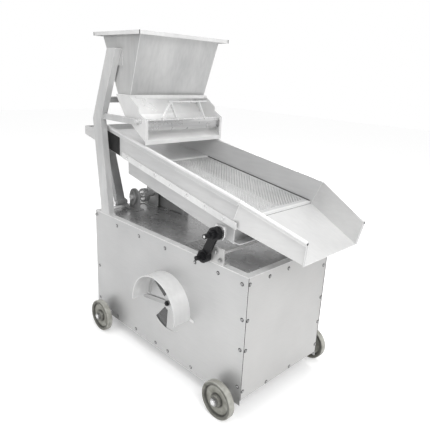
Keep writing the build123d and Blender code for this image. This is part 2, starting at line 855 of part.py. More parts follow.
leg_lug_face = leg_inner_face - seat_gap
with BuildPart() as feed_plate:
    with BuildSketch(floor_plane):
        floor_outline(tray_rear + tray_sheet + side_gap, feed_plate_end)
    extrude(amount=-tray_sheet)
    for side in (-1, 1):
        with BuildSketch(Plane.XZ.offset(-side * (leg_lug_face - leg_lug / 2))):
            lug_rear = leg_high[0] - leg_lug_width / 2
            lug_front = leg_high[0] + leg_lug_width / 2
            outline(
                (lug_rear, leg_high[1]),
                (lug_front, leg_high[1]),
                (lug_front, rim_z(lug_front) - floor_drop - tray_sheet / 2),
                (lug_rear, rim_z(lug_rear) - floor_drop - tray_sheet / 2),
            )
            with Locations(leg_high):
                Circle(leg_lug_width / 2)
        extrude(amount=leg_lug / 2, both=True)
keep(feed_plate, "feed_plate")

screen_start = feed_plate_end + side_gap
slot_pitch = (screen_end - screen_start) / slot_rows
with BuildPart() as screen:
    with BuildSketch(floor_plane):
        floor_outline(screen_start, screen_end)
        for row in range(slot_rows):
            row_x = screen_start + slot_pitch * (row + 0.5)
            column_pitch = 2 * (floor_half(row_x) - ledge_width) / slot_columns
            with Locations((row_x / cos(fall), 0)):
                with GridLocations(slot_pitch, column_pitch, 1, slot_columns):
                    Rectangle(slot_width, slot_length, mode=Mode.SUBTRACT)
    extrude(amount=-tray_sheet)
keep(screen, "screen")

with BuildPart() as screen_end_strip:
    with BuildSketch(floor_plane):
        floor_outline(screen_end + side_gap, wall_toe - 3)
    extrude(amount=-tray_sheet)
keep(screen_end_strip, "screen_end_strip")

# Clamp strips outside the walls hold the screen ledges to the subframe
strip_drop = wall_drop - strip_height
with BuildPart() as clamp_strips:
    for side in (-1, 1):
        with BuildSketch(side_wall_plane(side, wall_half)):
            band(strip_rear, strip_front, strip_drop, wall_drop)
        extrude(amount=-side * strip_thickness)
keep(clamp_strips, "clamp_strips")

# Discharge chute: a folded channel that narrows and steepens, with outward rims
def chute_section(floor_point, rim_point, shift):
    # Upright section plane across the chute, its local y running up the wall.
    rise = rim_point[1] - floor_point[1]
    run = rim_point[0] - floor_point[0]
    height = hypot(rise, run)
    plane = Plane(
        origin=(floor_point[0] + shift, 0, floor_point[1]),
        x_dir=(0, 1, 0),
        z_dir=(rise / height, 0, -run / height),
    )
    return plane, height


chute_ends = (
    (chute_section(chute_floor_start, chute_rim_start, bend_gap), chute_floor_half, chute_rim_half),
    (chute_section(lip_floor, lip_rim, 0), lip_floor_half, lip_rim_half),
)
with BuildPart() as chute:
    for (plane, height), low_half, high_half in chute_ends:
        with BuildSketch(plane):
            outline(
                (-low_half, 0),
                (low_half, 0),
                (high_half, height),
                (high_half - chute_sheet, height),
                (low_half - chute_sheet, chute_sheet),
                (chute_sheet - low_half, chute_sheet),
                (chute_sheet - high_half, height),
                (-high_half, height),
            )
    loft(ruled=True)
    for side in (-1, 1):
        for (plane, height), low_half, high_half in chute_ends:
            outer = high_half + chute_bead_width
            with BuildSketch(plane):
                outline(
                    (side * (high_half - chute_sheet / 2), height),
                    (side * outer, height),
                    (side * outer, height - chute_bead_height),
                    (side * (outer - chute_sheet), height - chute_bead_height),
                    (side * (outer - chute_sheet), height - chute_sheet),
                    (side * (high_half - chute_sheet / 2), height - chute_sheet),
                )
        loft(ruled=True)
keep(chute, "chute")

# Subframe: two side channels joined by a rear and a front cross member
channel_half = wall_half - tray_sheet - seat_gap
channel_top_drop = ledge_drop + tray_sheet + seat_gap
chute_fall = (chute_floor_start[1] - lip_floor[1]) / (lip_floor[0] - chute_floor_start[0])
channel_shoulder = wall_toe - 6


def chute_underside(x):
    return chute_floor_start[1] - chute_fall * (x - chute_floor_start[0]) - 2 * seat_gap


def channel_half_at(x):
    return channel_half + tray_taper * x


# A drop bracket beside the connecting rod hangs from the rear cross member.
rod_face = eccentric_width / 2 - eccentric_plane
bracket_face = rod_face - eccentric_width - seat_gap
with BuildPart() as subframe:
    for side in (-1, 1):
        channel_plane = side_wall_plane(side, channel_half)
        with BuildSketch(channel_plane):
            outline(
                (channel_rear * spread_length, rim_z(channel_rear) - channel_top_drop),
                (channel_shoulder * spread_length, rim_z(channel_shoulder) - channel_top_drop),
                (channel_shoulder * spread_length, chute_underside(channel_shoulder) - 4),
                (channel_front * spread_length, chute_underside(channel_front) - 4),
                (channel_front * spread_length, rim_z(channel_front) - channel_drop),
                (channel_rear * spread_length, rim_z(channel_rear) - channel_drop),
            )
        extrude(amount=side * channel_wall)
        for front, drop in (
            (channel_shoulder, channel_top_drop),
            (channel_front, channel_drop - channel_wall),
        ):
            with BuildSketch(channel_plane):
                band(channel_rear, front, drop, drop + channel_wall)
            extrude(amount=side * channel_flange)
    with BuildSketch(Plane.YZ.offset(cross_rear)):
        cross_top = rim_z(cross_rear) - channel_top_drop
        cross_foot = rim_z(cross_rear) - channel_drop
        with Locations((0, (cross_top + cross_foot) / 2)):
            Rectangle(2 * channel_half_at(cross_rear) - 2, cross_top - cross_foot - 2)
    extrude(amount=channel_wall)
    nose_foot = rim_z(cross_front) - channel_drop
    nose_top = chute_underside(cross_front + channel_wall) - 4
    with BuildSketch(Plane.YZ.offset(cross_front)):
        with Locations((0, (nose_top + nose_foot) / 2)):
            Rectangle(2 * channel_half_at(cross_front) - 2, nose_top - nose_foot)
    extrude(amount=channel_wall)
    with BuildSketch(Plane.XY.offset(nose_foot)):
        with Locations((cross_front + nose_flange / 2, 0)):
            Rectangle(nose_flange, 2 * channel_half_at(cross_front) - 2)
    extrude(amount=channel_wall)
    bracket_top = rim_z(cross_rear) - channel_top_drop - 4
    with BuildSketch(Plane.XZ.offset(bracket_face)):
        outline(
            (cross_rear - seat_gap, bracket_top),
            (cross_rear - seat_gap, rim_z(cross_rear) - channel_drop + 2),
            (rod_pin[0] + drop_width / 2, rod_pin[1]),
            (rod_pin[0] - drop_width / 2, rod_pin[1]),
            (rod_pin[0] - drop_width / 2, bracket_top),
        )
        with Locations(rod_pin):
            Circle(drop_width / 2)
    extrude(amount=-drop_plate)
keep(subframe, "subframe")

# Rocker arms: two eyes joined by a bar, outside the base plates and the subframe
rocker_inner = rocker_centre - rocker_width / 2
rocker_outer = rocker_centre + rocker_width / 2
for side, label in ((-1, "rocker_near"), (1, "rocker_far")):
    with BuildPart() as rocker:
        with BuildSketch(Plane.XZ.offset(-side * rocker_centre)):
            with Locations(rocker_low, rocker_high):
                Circle(rocker_eye_radius)
        extrude(amount=rocker_width / 2, both=True)
        with BuildSketch(Plane.XZ.offset(-side * rocker_centre)):
            bar_outline(rocker_low, rocker_high, rocker_bar_width)
        extrude(amount=rocker_bar_thickness / 2, both=True)
        with BuildSketch(Plane.XZ.offset(-side * rocker_centre)):
            with Locations(rocker_low, rocker_high):
                Circle(rocker_bolt_radius + running_fit)
        extrude(amount=rocker_width, both=True, mode=Mode.SUBTRACT)
    keep(rocker, label)


def side_plane(side, place, x, z):
    # Plane facing outwards on one side of the machine, at a pivot.
    return Plane(origin=(x, side * place, z), x_dir=(1, 0, 0), z_dir=(0, side, 0))


# Upper rocker bolts run from the subframe web through the arm to a nut and a bare tip
upper_start = channel_half_at(rocker_high[0] + bolt_head_radius + 4) + seat_gap
for side, label in ((-1, "upper_bolt_near"), (1, "upper_bolt_far")):
    with BuildPart() as upper_bolt:
        with BuildSketch(side_plane(side, upper_start, *rocker_high)):
            Circle(bolt_head_radius)
        extrude(amount=rocker_inner - seat_gap - upper_start)
        with BuildSketch(side_plane(side, upper_start, *rocker_high)):
            Circle(rocker_bolt_radius)
        extrude(amount=bolt_tip - upper_start)
        with BuildSketch(side_plane(side, rocker_outer + seat_gap, *rocker_high)):
            RegularPolygon(bolt_head_radius + 2, 6)
        extrude(amount=bolt_head_height)
    keep(upper_bolt, label)

plate_outer = half_width
plate_inner = half_width - base_plate_thickness
lower_start = plate_inner - seat_gap - lower_head_height
with BuildPart() as lower_bolts:
    for side in (-1, 1):
        with BuildSketch(side_plane(side, lower_start, *rocker_low)):
            RegularPolygon(bolt_head_radius, 6)
        extrude(amount=lower_head_height)
        with BuildSketch(side_plane(side, lower_start, *rocker_low)):
            Circle(rocker_bolt_radius)
        extrude(amount=bolt_tip - 12 - lower_start)
        with BuildSketch(side_plane(side, plate_outer + seat_gap, *rocker_low)):
            Circle(bolt_head_radius)
        extrude(amount=rocker_inner - plate_outer - 2 * seat_gap)
        with BuildSketch(side_plane(side, rocker_outer + seat_gap, *rocker_low)):
            RegularPolygon(bolt_head_radius + 2, 6)
        extrude(amount=bolt_head_height - 4)
keep(lower_bolts, "lower_bolts")

# Base plates of the rockers: folded feet on the cabinet edge, joined by a tie across the deck
plate_middle = (base_plate_rear + base_plate_front) / 2
with BuildPart() as rocker_base:
    for side in (-1, 1):
        with BuildSketch(Plane.XZ.offset(-side * (plate_outer - base_plate_thickness / 2))):
            outline(
                (base_plate_rear, cabinet_top),
                (base_plate_front, cabinet_top),
                (base_plate_front, cabinet_top + base_plate_height),
                (rocker_low[0] + 30, cabinet_top + base_plate_height),
                (base_plate_rear, rocker_low[1] + 14),
            )
            with Locations(rocker_low):
                Circle(rocker_bolt_radius + running_fit, mode=Mode.SUBTRACT)
        extrude(amount=base_plate_thickness / 2, both=True)
        with BuildSketch(Plane.XY.offset(cabinet_top)):
            with Locations((plate_middle, side * (plate_outer - base_foot / 2))):
                Rectangle(base_plate_front - base_plate_rear, base_foot)
            with Locations((rocker_low[0], side * (plate_inner - 7))):
                Rectangle(2 * bolt_head_radius + 6, 22, mode=Mode.SUBTRACT)
        extrude(amount=foot_sheet)
    tie_top = cabinet_top + base_plate_height - tie_fold
    with BuildSketch(Plane.XZ):
        outline(
            (base_plate_front - tie_height, tie_top),
            (base_plate_front, tie_top),
            (base_plate_front, tie_top - tie_fold),
            (base_plate_front - tie_wall, tie_top - tie_fold),
            (base_plate_front - tie_wall, tie_top - tie_wall),
            (base_plate_front - tie_height, tie_top - tie_wall),
        )
    extrude(amount=plate_inner + 1, both=True)
keep(rocker_base, "rocker_base")

# Rear legs: channels between foot lugs on the deck and lugs under the feed plate
leg_outer_face = leg_inner_face + leg_breadth
leg_middle = leg_inner_face + leg_breadth / 2
eye_radius = leg_depth / 2 + 3
leg_nut_radius = leg_bolt_radius + 5
for side, label in ((-1, "rear_leg_near"), (1, "rear_leg_far")):
    leg_plane = Plane.XZ.offset(-side * leg_middle)
    with BuildPart() as rear_leg:
        with BuildSketch(leg_plane):
            bar_outline(leg_low, leg_high, leg_depth)
            with Locations(leg_low, leg_high):
                Circle(eye_radius)
        extrude(amount=leg_breadth / 2, both=True)
        with BuildSketch(side_plane(side, leg_outer_face - leg_wall, 0, 0)):
            lean = atan2(leg_high[1] - leg_low[1], leg_high[0] - leg_low[0])
            reach = eye_radius + 4
            near_end = (leg_low[0] + reach * cos(lean), -side * (leg_low[1] + reach * sin(lean)))
            far_end = (leg_high[0] - reach * cos(lean), -side * (leg_high[1] - reach * sin(lean)))
            bar_outline(near_end, far_end, leg_depth - 2 * leg_wall)
        extrude(amount=-leg_breadth, mode=Mode.SUBTRACT)
        with BuildSketch(leg_plane):
            with Locations(leg_low):
                Circle(leg_bolt_radius + running_fit)
        extrude(amount=leg_breadth, both=True, mode=Mode.SUBTRACT)
        with BuildSketch(side_plane(side, leg_outer_face, *leg_high)):
            RegularPolygon(leg_nut_radius, 6)
        extrude(amount=leg_nut_height)
    keep(rear_leg, label)

with BuildPart() as leg_feet:
    for side in (-1, 1):
        foot_middle = side * (leg_lug_face - leg_lug / 2)
        foot_rear = cabinet_rear + 4
        foot_front = foot_rear + leg_foot_length
        with BuildSketch(Plane.XZ.offset(-foot_middle)):
            outline(
                (foot_rear, cabinet_top),
                (foot_front, cabinet_top),
                (leg_low[0] + eye_radius + 2, leg_low[1]),
                (leg_low[0] - eye_radius - 2, leg_low[1]),
            )
            with Locations(leg_low):
                Circle(eye_radius + 2)
                Circle(leg_bolt_radius + running_fit, mode=Mode.SUBTRACT)
        extrude(amount=leg_lug / 2, both=True)
        with BuildSketch(Plane.XY.offset(cabinet_top)):
            with Locations(((foot_rear + foot_front) / 2, side * (leg_lug_face - leg_foot_width / 2))):
                Rectangle(leg_foot_length, leg_foot_width)
        extrude(amount=foot_sheet)
keep(leg_feet, "leg_feet")

foot_bolt_start = leg_lug_face - leg_lug - seat_gap - leg_nut_height
with BuildPart() as leg_foot_bolts:
    for side in (-1, 1):
        with BuildSketch(side_plane(side, foot_bolt_start, *leg_low)):
            RegularPolygon(leg_nut_radius, 6)
        extrude(amount=leg_nut_height)
        with BuildSketch(side_plane(side, foot_bolt_start, *leg_low)):
            Circle(leg_bolt_radius)
        extrude(amount=leg_outer_face + seat_gap + leg_nut_height - foot_bolt_start)
        with BuildSketch(side_plane(side, leg_outer_face + seat_gap, *leg_low)):
            RegularPolygon(leg_nut_radius, 6)
        extrude(amount=leg_nut_height)
keep(leg_foot_bolts, "leg_foot_bolts")

# Blower housing: a spiral case with a duct up to the deck
scroll_span = 360.0
scroll_steps = 16


def scroll_point(angle, inset, start):
    grown = scroll_start_radius + scroll_growth * (angle - start) / (scroll_span - start) - inset
    turn = radians(angle)
    return (fan_x + grown * cos(turn), fan_z + grown * sin(turn))


tongue_angle = degrees(atan2((scroll_start_radius ** 2 - (duct_left - fan_x) ** 2) ** 0.5, duct_left - fan_x))
duct_top = deck_top - deck_sheet
with BuildPart() as blower_housing:
    for inset, mode in ((0, Mode.ADD), (scroll_sheet, Mode.SUBTRACT)):
        with BuildSketch(Plane.XZ.offset(scroll_front - inset)):
            with BuildLine():
                angles = [tongue_angle + (scroll_span - tongue_angle) * i / scroll_steps
                          for i in range(scroll_steps + 1)]
                spiral = Spline(*[scroll_point(angle, inset, tongue_angle) for angle in angles])
                corners = [spiral @ 1, ((spiral @ 1).X, duct_top), (duct_left + inset, duct_top)]
                if inset:
                    corners.append((duct_left + inset, (spiral @ 0).Y))
                Polyline(*corners, spiral @ 0)
            make_face()
        extrude(amount=-(scroll_width - 2 * inset), mode=mode)
    with BuildSketch(Plane.XZ.offset(scroll_front)):
        with Locations((fan_x, fan_z)):
            Circle(inlet_radius)
    extrude(amount=-scroll_sheet, mode=Mode.SUBTRACT)
    with BuildSketch(Plane.XZ.offset(scroll_front - scroll_width + scroll_sheet)):
        with Locations((fan_x, fan_z)):
            Circle(fan_shaft_radius + 4)
    extrude(amount=-scroll_sheet, mode=Mode.SUBTRACT)
keep(blower_housing, "blower_housing")

# Impeller: back plate, hub, blades leaning back from the radius, and front ring
impeller_back = scroll_front - scroll_width + 16
impeller_face = impeller_back + impeller_width
with BuildPart() as impeller:
    with BuildSketch(Plane.XZ.offset(impeller_back)):
        with Locations((fan_x, fan_z)):
            Circle(impeller_radius)
    extrude(amount=3)
    with BuildSketch(Plane.XZ.offset(impeller_back)):
        with Locations((fan_x, fan_z)):
            Circle(impeller_hub_radius)
    extrude(amount=impeller_hub_length)
    with BuildSketch(Plane.XZ.offset(impeller_back)):
        with Locations((fan_x, fan_z)):
            with PolarLocations((impeller_eye + impeller_radius) / 2 - 8, blade_count):
                Rectangle(impeller_radius - impeller_eye + 18, blade_sheet, rotation=blade_lean)
    extrude(amount=impeller_width - 1)
    with BuildSketch(Plane.XZ.offset(impeller_face - 2)):
        with Locations((fan_x, fan_z)):
            Circle(impeller_radius)
            Circle(impeller_eye, mode=Mode.SUBTRACT)
    extrude(amount=2)
    with BuildSketch(Plane.XZ.offset(impeller_back)):
        with Locations((fan_x, fan_z)):
            Circle(fan_shaft_radius + running_fit)
    extrude(amount=impeller_hub_length, mode=Mode.SUBTRACT)
keep(impeller, "impeller")

with BuildPart() as fan_shaft:
    with BuildSketch(Plane.XZ.offset(-fan_shaft_end)):
        with Locations((fan_x, fan_z)):
            Circle(fan_shaft_radius)
    extrude(amount=fan_shaft_end + impeller_back + 50)
keep(fan_shaft, "fan_shaft")

with BuildPart() as fan_bearings:
    for place in fan_bearing_places:
        with BuildSketch(Plane.XZ.offset(-place)):
            with Locations((fan_x, fan_z - bearing_height + bearing_foot_height / 2)):
                Rectangle(bearing_foot_length, bearing_foot_height)
            with Locations((fan_x, fan_z)):
                Circle(bearing_boss)
            with Locations((fan_x, fan_z - bearing_height / 2)):
                Rectangle(2 * bearing_boss, bearing_height)
            with Locations((fan_x, fan_z)):
                Circle(fan_shaft_radius + running_fit, mode=Mode.SUBTRACT)
        extrude(amount=bearing_depth / 2, both=True)
keep(fan_bearings, "fan_bearings")

pedestal_top = fan_z - bearing_height
pedestal_height = pedestal_top - rail_top
pedestal_span = pedestal_width - 2 * pedestal_plate
with BuildPart() as fan_pedestal:
    with BuildSketch(Plane.XZ.offset(-(fan_bearing_places[0] + fan_bearing_places[1]) / 2)):
        with Locations((fan_x, rail_top + pedestal_height / 2)):
            Rectangle(pedestal_width, pedestal_height)
        with Locations((fan_x, rail_top + (pedestal_height - pedestal_plate) / 2)):
            Rectangle(pedestal_span, pedestal_height - pedestal_plate, mode=Mode.SUBTRACT)
    extrude(amount=pedestal_depth / 2, both=True)
keep(fan_pedestal, "fan_pedestal")


def pulley_profile(radius, bore, width):
    # Half section of a vee pulley: local x is the radius and local y runs along the shaft.
    half = width / 2
    outline(
        (bore, -half),
        (radius, -half),
        (radius, -belt_width / 2 - 2.5),
        (radius - groove_depth, -belt_width / 2 - 0.5),
        (radius - groove_depth, belt_width / 2 + 0.5),
        (radius, belt_width / 2 + 2.5),
        (radius, half),
        (bore, half),
    )


with BuildPart() as fan_pulley:
    with BuildSketch(Plane((fan_x, fan_belt_plane, fan_z), x_dir=(1, 0, 0), z_dir=(0, 0, 1))):
        pulley_profile(fan_pulley_radius, fan_shaft_radius + running_fit, pulley_width)
    revolve(axis=Axis((fan_x, fan_belt_plane, fan_z), (0, 1, 0)))
keep(fan_pulley, "fan_pulley")

# The motor's two groove pulley is made in one with its shaft
with BuildPart() as motor_rotor:
    for belt_plane in (fan_belt_plane, drive_belt_plane):
        with BuildSketch(Plane((motor_x, belt_plane, motor_z), x_dir=(1, 0, 0), z_dir=(0, 0, 1))):
            pulley_profile(motor_pulley_radius, motor_shaft_radius, drive_belt_plane - fan_belt_plane)
        revolve(axis=Axis((motor_x, belt_plane, motor_z), (0, 1, 0)))
    with BuildSketch(Plane.XZ.offset(-drive_belt_plane - shaft_stub)):
        with Locations((motor_x, motor_z)):
            Circle(motor_shaft_radius)
    extrude(amount=drive_belt_plane + shaft_stub - motor_front + motor_shaft_length)
keep(motor_rotor, "motor_rotor")

with BuildPart() as drive_pulley:
    with BuildSketch(Plane((eccentric_x, drive_belt_plane, eccentric_z), x_dir=(1, 0, 0), z_dir=(0, 0, 1))):
        pulley_profile(drive_pulley_radius, eccentric_shaft_radius + running_fit, pulley_width)
    revolve(axis=Axis((eccentric_x, drive_belt_plane, eccentric_z), (0, 1, 0)))
keep(drive_pulley, "drive_pulley")

# Motor: finned barrel, end bell, terminal box and a foot on the rails
with BuildPart() as motor:
    with BuildSketch(Plane.XZ.offset(-motor_front)):
        with Locations((motor_x, motor_z)):
            Circle(motor_radius - fin_height)
            with PolarLocations(motor_radius - fin_height, fin_count):
                Rectangle(2 * fin_height, fin_sheet)
    extrude(amount=motor_length - end_bell_length)
    with BuildSketch(Plane.XZ.offset(motor_length - motor_front - end_bell_length)):
        with Locations((motor_x, motor_z)):
            Circle(motor_radius - 2)
    extrude(amount=end_bell_length)
    with BuildSketch(Plane.XZ.offset(-motor_front)):
        foot_rise = motor_z - rail_top - motor_radius + 20
        with Locations((motor_x, rail_top + foot_rise / 2)):
            Rectangle(2 * rail_spread + 30, foot_rise)
        with Locations((motor_x, motor_z + motor_radius + 8)):
            Rectangle(*terminal_box)
    extrude(amount=motor_length - 60)
    with BuildSketch(Plane.XZ.offset(-motor_front)):
        with Locations((motor_x, motor_z)):
            Circle(motor_shaft_radius + running_fit)
    extrude(amount=motor_shaft_length + 2, mode=Mode.SUBTRACT)
keep(motor, "motor")

# Vee belts, each a closed loop over its two pulleys
belt_runs = (
    ("fan_belt", fan_belt_plane, (fan_x, fan_z), fan_pulley_radius),
    ("drive_belt", drive_belt_plane, (eccentric_x, eccentric_z), drive_pulley_radius),
)
for label, belt_plane, driven, driven_radius in belt_runs:
    with BuildPart() as belt:
        with BuildSketch(Plane.XZ.offset(-belt_plane)):
            belt_loop(driven, driven_radius - groove_depth + seat_gap + belt_height,
                      (motor_x, motor_z), motor_pulley_radius - groove_depth + seat_gap + belt_height)
        extrude(amount=belt_width / 2, both=True)
        with BuildSketch(Plane.XZ.offset(-belt_plane)):
            belt_loop(driven, driven_radius - groove_depth + seat_gap,
                      (motor_x, motor_z), motor_pulley_radius - groove_depth + seat_gap)
        extrude(amount=belt_width / 2, both=True, mode=Mode.SUBTRACT)
    keep(belt, label)

# Eccentric shaft on two upright stands, with an oval flange bearing on each
with BuildPart() as eccentric_shaft:
    with BuildSketch(Plane.XZ.offset(-drive_belt_plane - shaft_stub)):
        with Locations((eccentric_x, eccentric_z)):
            Circle(eccentric_shaft_radius)
    extrude(amount=drive_belt_plane + shaft_stub - stand_places[0] + stand_plate + flange_bearing_width + 8)
    with BuildSketch(Plane.XZ.offset(-eccentric_plane)):
        with Locations((eccentric_x + eccentric_throw, eccentric_z)):
            Circle(eccentric_radius)
    extrude(amount=eccentric_width / 2, both=True)
keep(eccentric_shaft, "eccentric_shaft")

with BuildPart() as bearing_stands:
    for side, place in zip((-1, 1), stand_places):
        with BuildSketch(Plane.XZ.offset(-place)):
            with Locations((eccentric_x, (deck_top + eccentric_z) / 2)):
                Rectangle(stand_width, eccentric_z - deck_top)
            with Locations((eccentric_x, eccentric_z)):
                Circle(stand_width / 2)
                Circle(eccentric_shaft_radius + 3, mode=Mode.SUBTRACT)
        extrude(amount=stand_plate / 2, both=True)
        with BuildSketch(Plane.XY.offset(deck_top)):
            with Locations((eccentric_x, place - side * stand_foot / 2)):
                Rectangle(stand_width, stand_foot)
        extrude(amount=foot_sheet)
keep(bearing_stands, "bearing_stands")

ear_reach = bearing_long / 2 - bearing_ear
with BuildPart() as flange_bearings:
    for side, place in zip((-1, 1), stand_places):
        face = place + side * (stand_plate / 2 + seat_gap)
        with BuildSketch(Plane((eccentric_x, face, eccentric_z), x_dir=(1, 0, 0), z_dir=(0, side, 0))):
            belt_loop((0, ear_reach), bearing_ear, (0, -ear_reach), bearing_ear)
            Circle(bearing_short / 2)
            make_hull()
            Circle(eccentric_shaft_radius + running_fit, mode=Mode.SUBTRACT)
        extrude(amount=flange_bearing_width)
keep(flange_bearings, "flange_bearings")

# Connecting rod from the eccentric to the drop bracket, with the head of its pin
eccentric_centre = (eccentric_x + eccentric_throw, eccentric_z)
with BuildPart() as connecting_rod:
    with BuildSketch(Plane.XZ.offset(-eccentric_plane)):
        with Locations(eccentric_centre):
            Circle(strap_radius)
        with Locations(rod_pin):
            Circle(rod_eye_radius)
    extrude(amount=eccentric_width / 2, both=True)
    with BuildSketch(Plane.XZ.offset(-eccentric_plane)):
        bar_outline(eccentric_centre, rod_pin, 22)
    extrude(amount=6, both=True)
    with BuildSketch(Plane.XZ.offset(-eccentric_plane)):
        with Locations(eccentric_centre):
            Circle(eccentric_radius + running_fit)
    extrude(amount=eccentric_width, both=True, mode=Mode.SUBTRACT)
    with BuildSketch(Plane.XZ.offset(rod_face)):
        with Locations(rod_pin):
            RegularPolygon(rod_pin_radius + 6, 6)
    extrude(amount=8)
keep(connecting_rod, "connecting_rod")
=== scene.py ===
import math
import bmesh
import bpy
from mathutils import Matrix, Vector


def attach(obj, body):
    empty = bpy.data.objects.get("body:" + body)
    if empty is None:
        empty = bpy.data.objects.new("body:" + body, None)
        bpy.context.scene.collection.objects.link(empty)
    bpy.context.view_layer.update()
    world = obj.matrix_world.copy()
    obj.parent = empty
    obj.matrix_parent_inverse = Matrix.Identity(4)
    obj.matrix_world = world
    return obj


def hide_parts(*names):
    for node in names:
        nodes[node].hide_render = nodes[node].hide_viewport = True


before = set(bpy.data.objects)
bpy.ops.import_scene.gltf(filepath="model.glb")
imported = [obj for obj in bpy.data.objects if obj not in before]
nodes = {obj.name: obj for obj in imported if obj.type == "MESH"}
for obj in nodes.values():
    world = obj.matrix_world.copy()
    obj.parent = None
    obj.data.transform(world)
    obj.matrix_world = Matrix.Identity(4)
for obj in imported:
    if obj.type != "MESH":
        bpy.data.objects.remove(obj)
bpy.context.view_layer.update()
MM = 0.001

# Camera at the photograph's place: position in metres, angles in degrees
CAMERA_PLACE = Vector((1.43864, -1.35590, 1.25168))
CAMERA_AZIMUTH = math.radians(44.865)
CAMERA_ELEVATION = math.radians(17.2)
CAMERA_ROLL = math.radians(2.747)
CAMERA_LENS = 38.207
SENSOR_WIDTH = 36.0

# Studio: the direction that is palest, and the room's strength away from it and towards it
PALE_SIDE = (0.38, 0.30, 0.87)
ROOM_DARK = 0.25
ROOM_PALE = 1.05
FLOOR_REACH = 12
FLOOR_TONE = (0.80, 0.80, 0.80, 1)
FLOOR_GLOW = 0.27
MIRRORED_GLOW = 0.16
MIRRORED_SHARE = 0.30

# Square area lamps, as (name, place, target, power in watts)
LAMP_SIZE = 1.6
LAMPS = (
    ("key", (3.0, -1.3, 3.0), (0, 0, 0.7), 66),
    ("side_fill", (0.1, -2.7, 1.7), (0, 0, 0.6), 20),
    ("top", (-0.2, 0.3, 3.6), (0, 0, 0.8), 50),
)

# Tray geometry, as in the frame: slopes, heights and half widths at the origin
TRAY_SLOPE = 0.1655
TRAY_TAPER = 0.0593
RIM_HEIGHT = 0.9252
WALL_HALF = 0.2204
FLOOR_DROP = 0.098
SCREEN_REAR = -0.1845
SCREEN_FRONT = 0.403
STRIP_FACE = WALL_HALF + 0.004

# Cabinet planes
HALF_WIDTH = 0.250
FRONT_FACE = 0.516
REAR_FACE = -0.491
DECK_EDGE = 0.585
PANEL_FOOT = 0.081

# Wheels
WHEEL_RADIUS = 0.0765
FRONT_AXLE = 0.452
REAR_AXLE = -0.371


def aim_camera():
    data = bpy.data.cameras.new("camera")
    data.lens = CAMERA_LENS
    data.sensor_width = SENSOR_WIDTH
    data.clip_end = 50
    camera = bpy.data.objects.new("camera", data)
    bpy.context.scene.collection.objects.link(camera)
    ca, sa = math.cos(CAMERA_AZIMUTH), math.sin(CAMERA_AZIMUTH)
    ce, se = math.cos(CAMERA_ELEVATION), math.sin(CAMERA_ELEVATION)
    back = Vector((sa * ce, -ca * ce, se))
    right = Vector((ca, sa, 0))
    up = back.cross(right)
    cq, sq = math.cos(CAMERA_ROLL), math.sin(CAMERA_ROLL)
    turned = Matrix((cq * right + sq * up, cq * up - sq * right, back)).transposed()
    camera.matrix_world = Matrix.Translation(CAMERA_PLACE) @ turned.to_4x4()
    bpy.context.scene.camera = camera


def area_light(name, place, target, power):
    data = bpy.data.lights.new(name, "AREA")
    data.shape = "RECTANGLE"
    data.size, data.size_y = LAMP_SIZE, LAMP_SIZE
    data.energy = power
    lamp = bpy.data.objects.new(name, data)
    lamp.location = place
    lamp.rotation_euler = (Vector(target) - Vector(place)).to_track_quat("-Z", "Y").to_euler()
    bpy.context.scene.collection.objects.link(lamp)


def light_scene():
    bpy.context.scene.view_settings.view_transform = "Standard"
    world = bpy.data.worlds.new("studio")
    bpy.context.scene.world = world
    world.use_nodes = True
    tree = world.node_tree
    tree.nodes.clear()
    link = tree.links.new
    # The studio is white to the eye. The part is lit by a softer shade that is paler overhead and
    # towards the far end of the room, and the metal mirrors that shade with a share of the white.
    path = tree.nodes.new("ShaderNodeLightPath")
    coords = tree.nodes.new("ShaderNodeTexCoord")
    towards = tree.nodes.new("ShaderNodeVectorMath")
    towards.operation = "DOT_PRODUCT"
    towards.inputs[1].default_value = PALE_SIDE
    ramp = tree.nodes.new("ShaderNodeMapRange")
    ramp.inputs["From Min"].default_value = -1.0
    ramp.inputs["From Max"].default_value = 1.0
    ramp.inputs["To Min"].default_value = ROOM_DARK
    ramp.inputs["To Max"].default_value = ROOM_PALE
    soft = tree.nodes.new("ShaderNodeBackground")
    soft.inputs["Color"].default_value = (1, 1, 1, 1)
    white = tree.nodes.new("ShaderNodeBackground")
    white.inputs["Color"].default_value = (1, 1, 1, 1)
    white.inputs["Strength"].default_value = 1.0
    mirrored = tree.nodes.new("ShaderNodeMath")
    mirrored.operation = "MAXIMUM"
    part = tree.nodes.new("ShaderNodeMath")
    part.operation = "MULTIPLY"
    part.inputs[1].default_value = MIRRORED_SHARE
    shown = tree.nodes.new("ShaderNodeMath")
    shown.operation = "MAXIMUM"
    mix = tree.nodes.new("ShaderNodeMixShader")
    out = tree.nodes.new("ShaderNodeOutputWorld")
    link(coords.outputs["Generated"], towards.inputs[0])
    link(towards.outputs["Value"], ramp.inputs["Value"])
    link(ramp.outputs["Result"], soft.inputs["Strength"])
    link(path.outputs["Is Glossy Ray"], mirrored.inputs[0])
    link(path.outputs["Is Transmission Ray"], mirrored.inputs[1])
    link(mirrored.outputs[0], part.inputs[0])
    link(path.outputs["Is Camera Ray"], shown.inputs[0])
    link(part.outputs[0], shown.inputs[1])
    link(shown.outputs[0], mix.inputs["Fac"])
    link(soft.outputs[0], mix.inputs[1])
    link(white.outputs[0], mix.inputs[2])
    link(mix.outputs[0], out.inputs["Surface"])
    for lamp in LAMPS:
        area_light(*lamp)


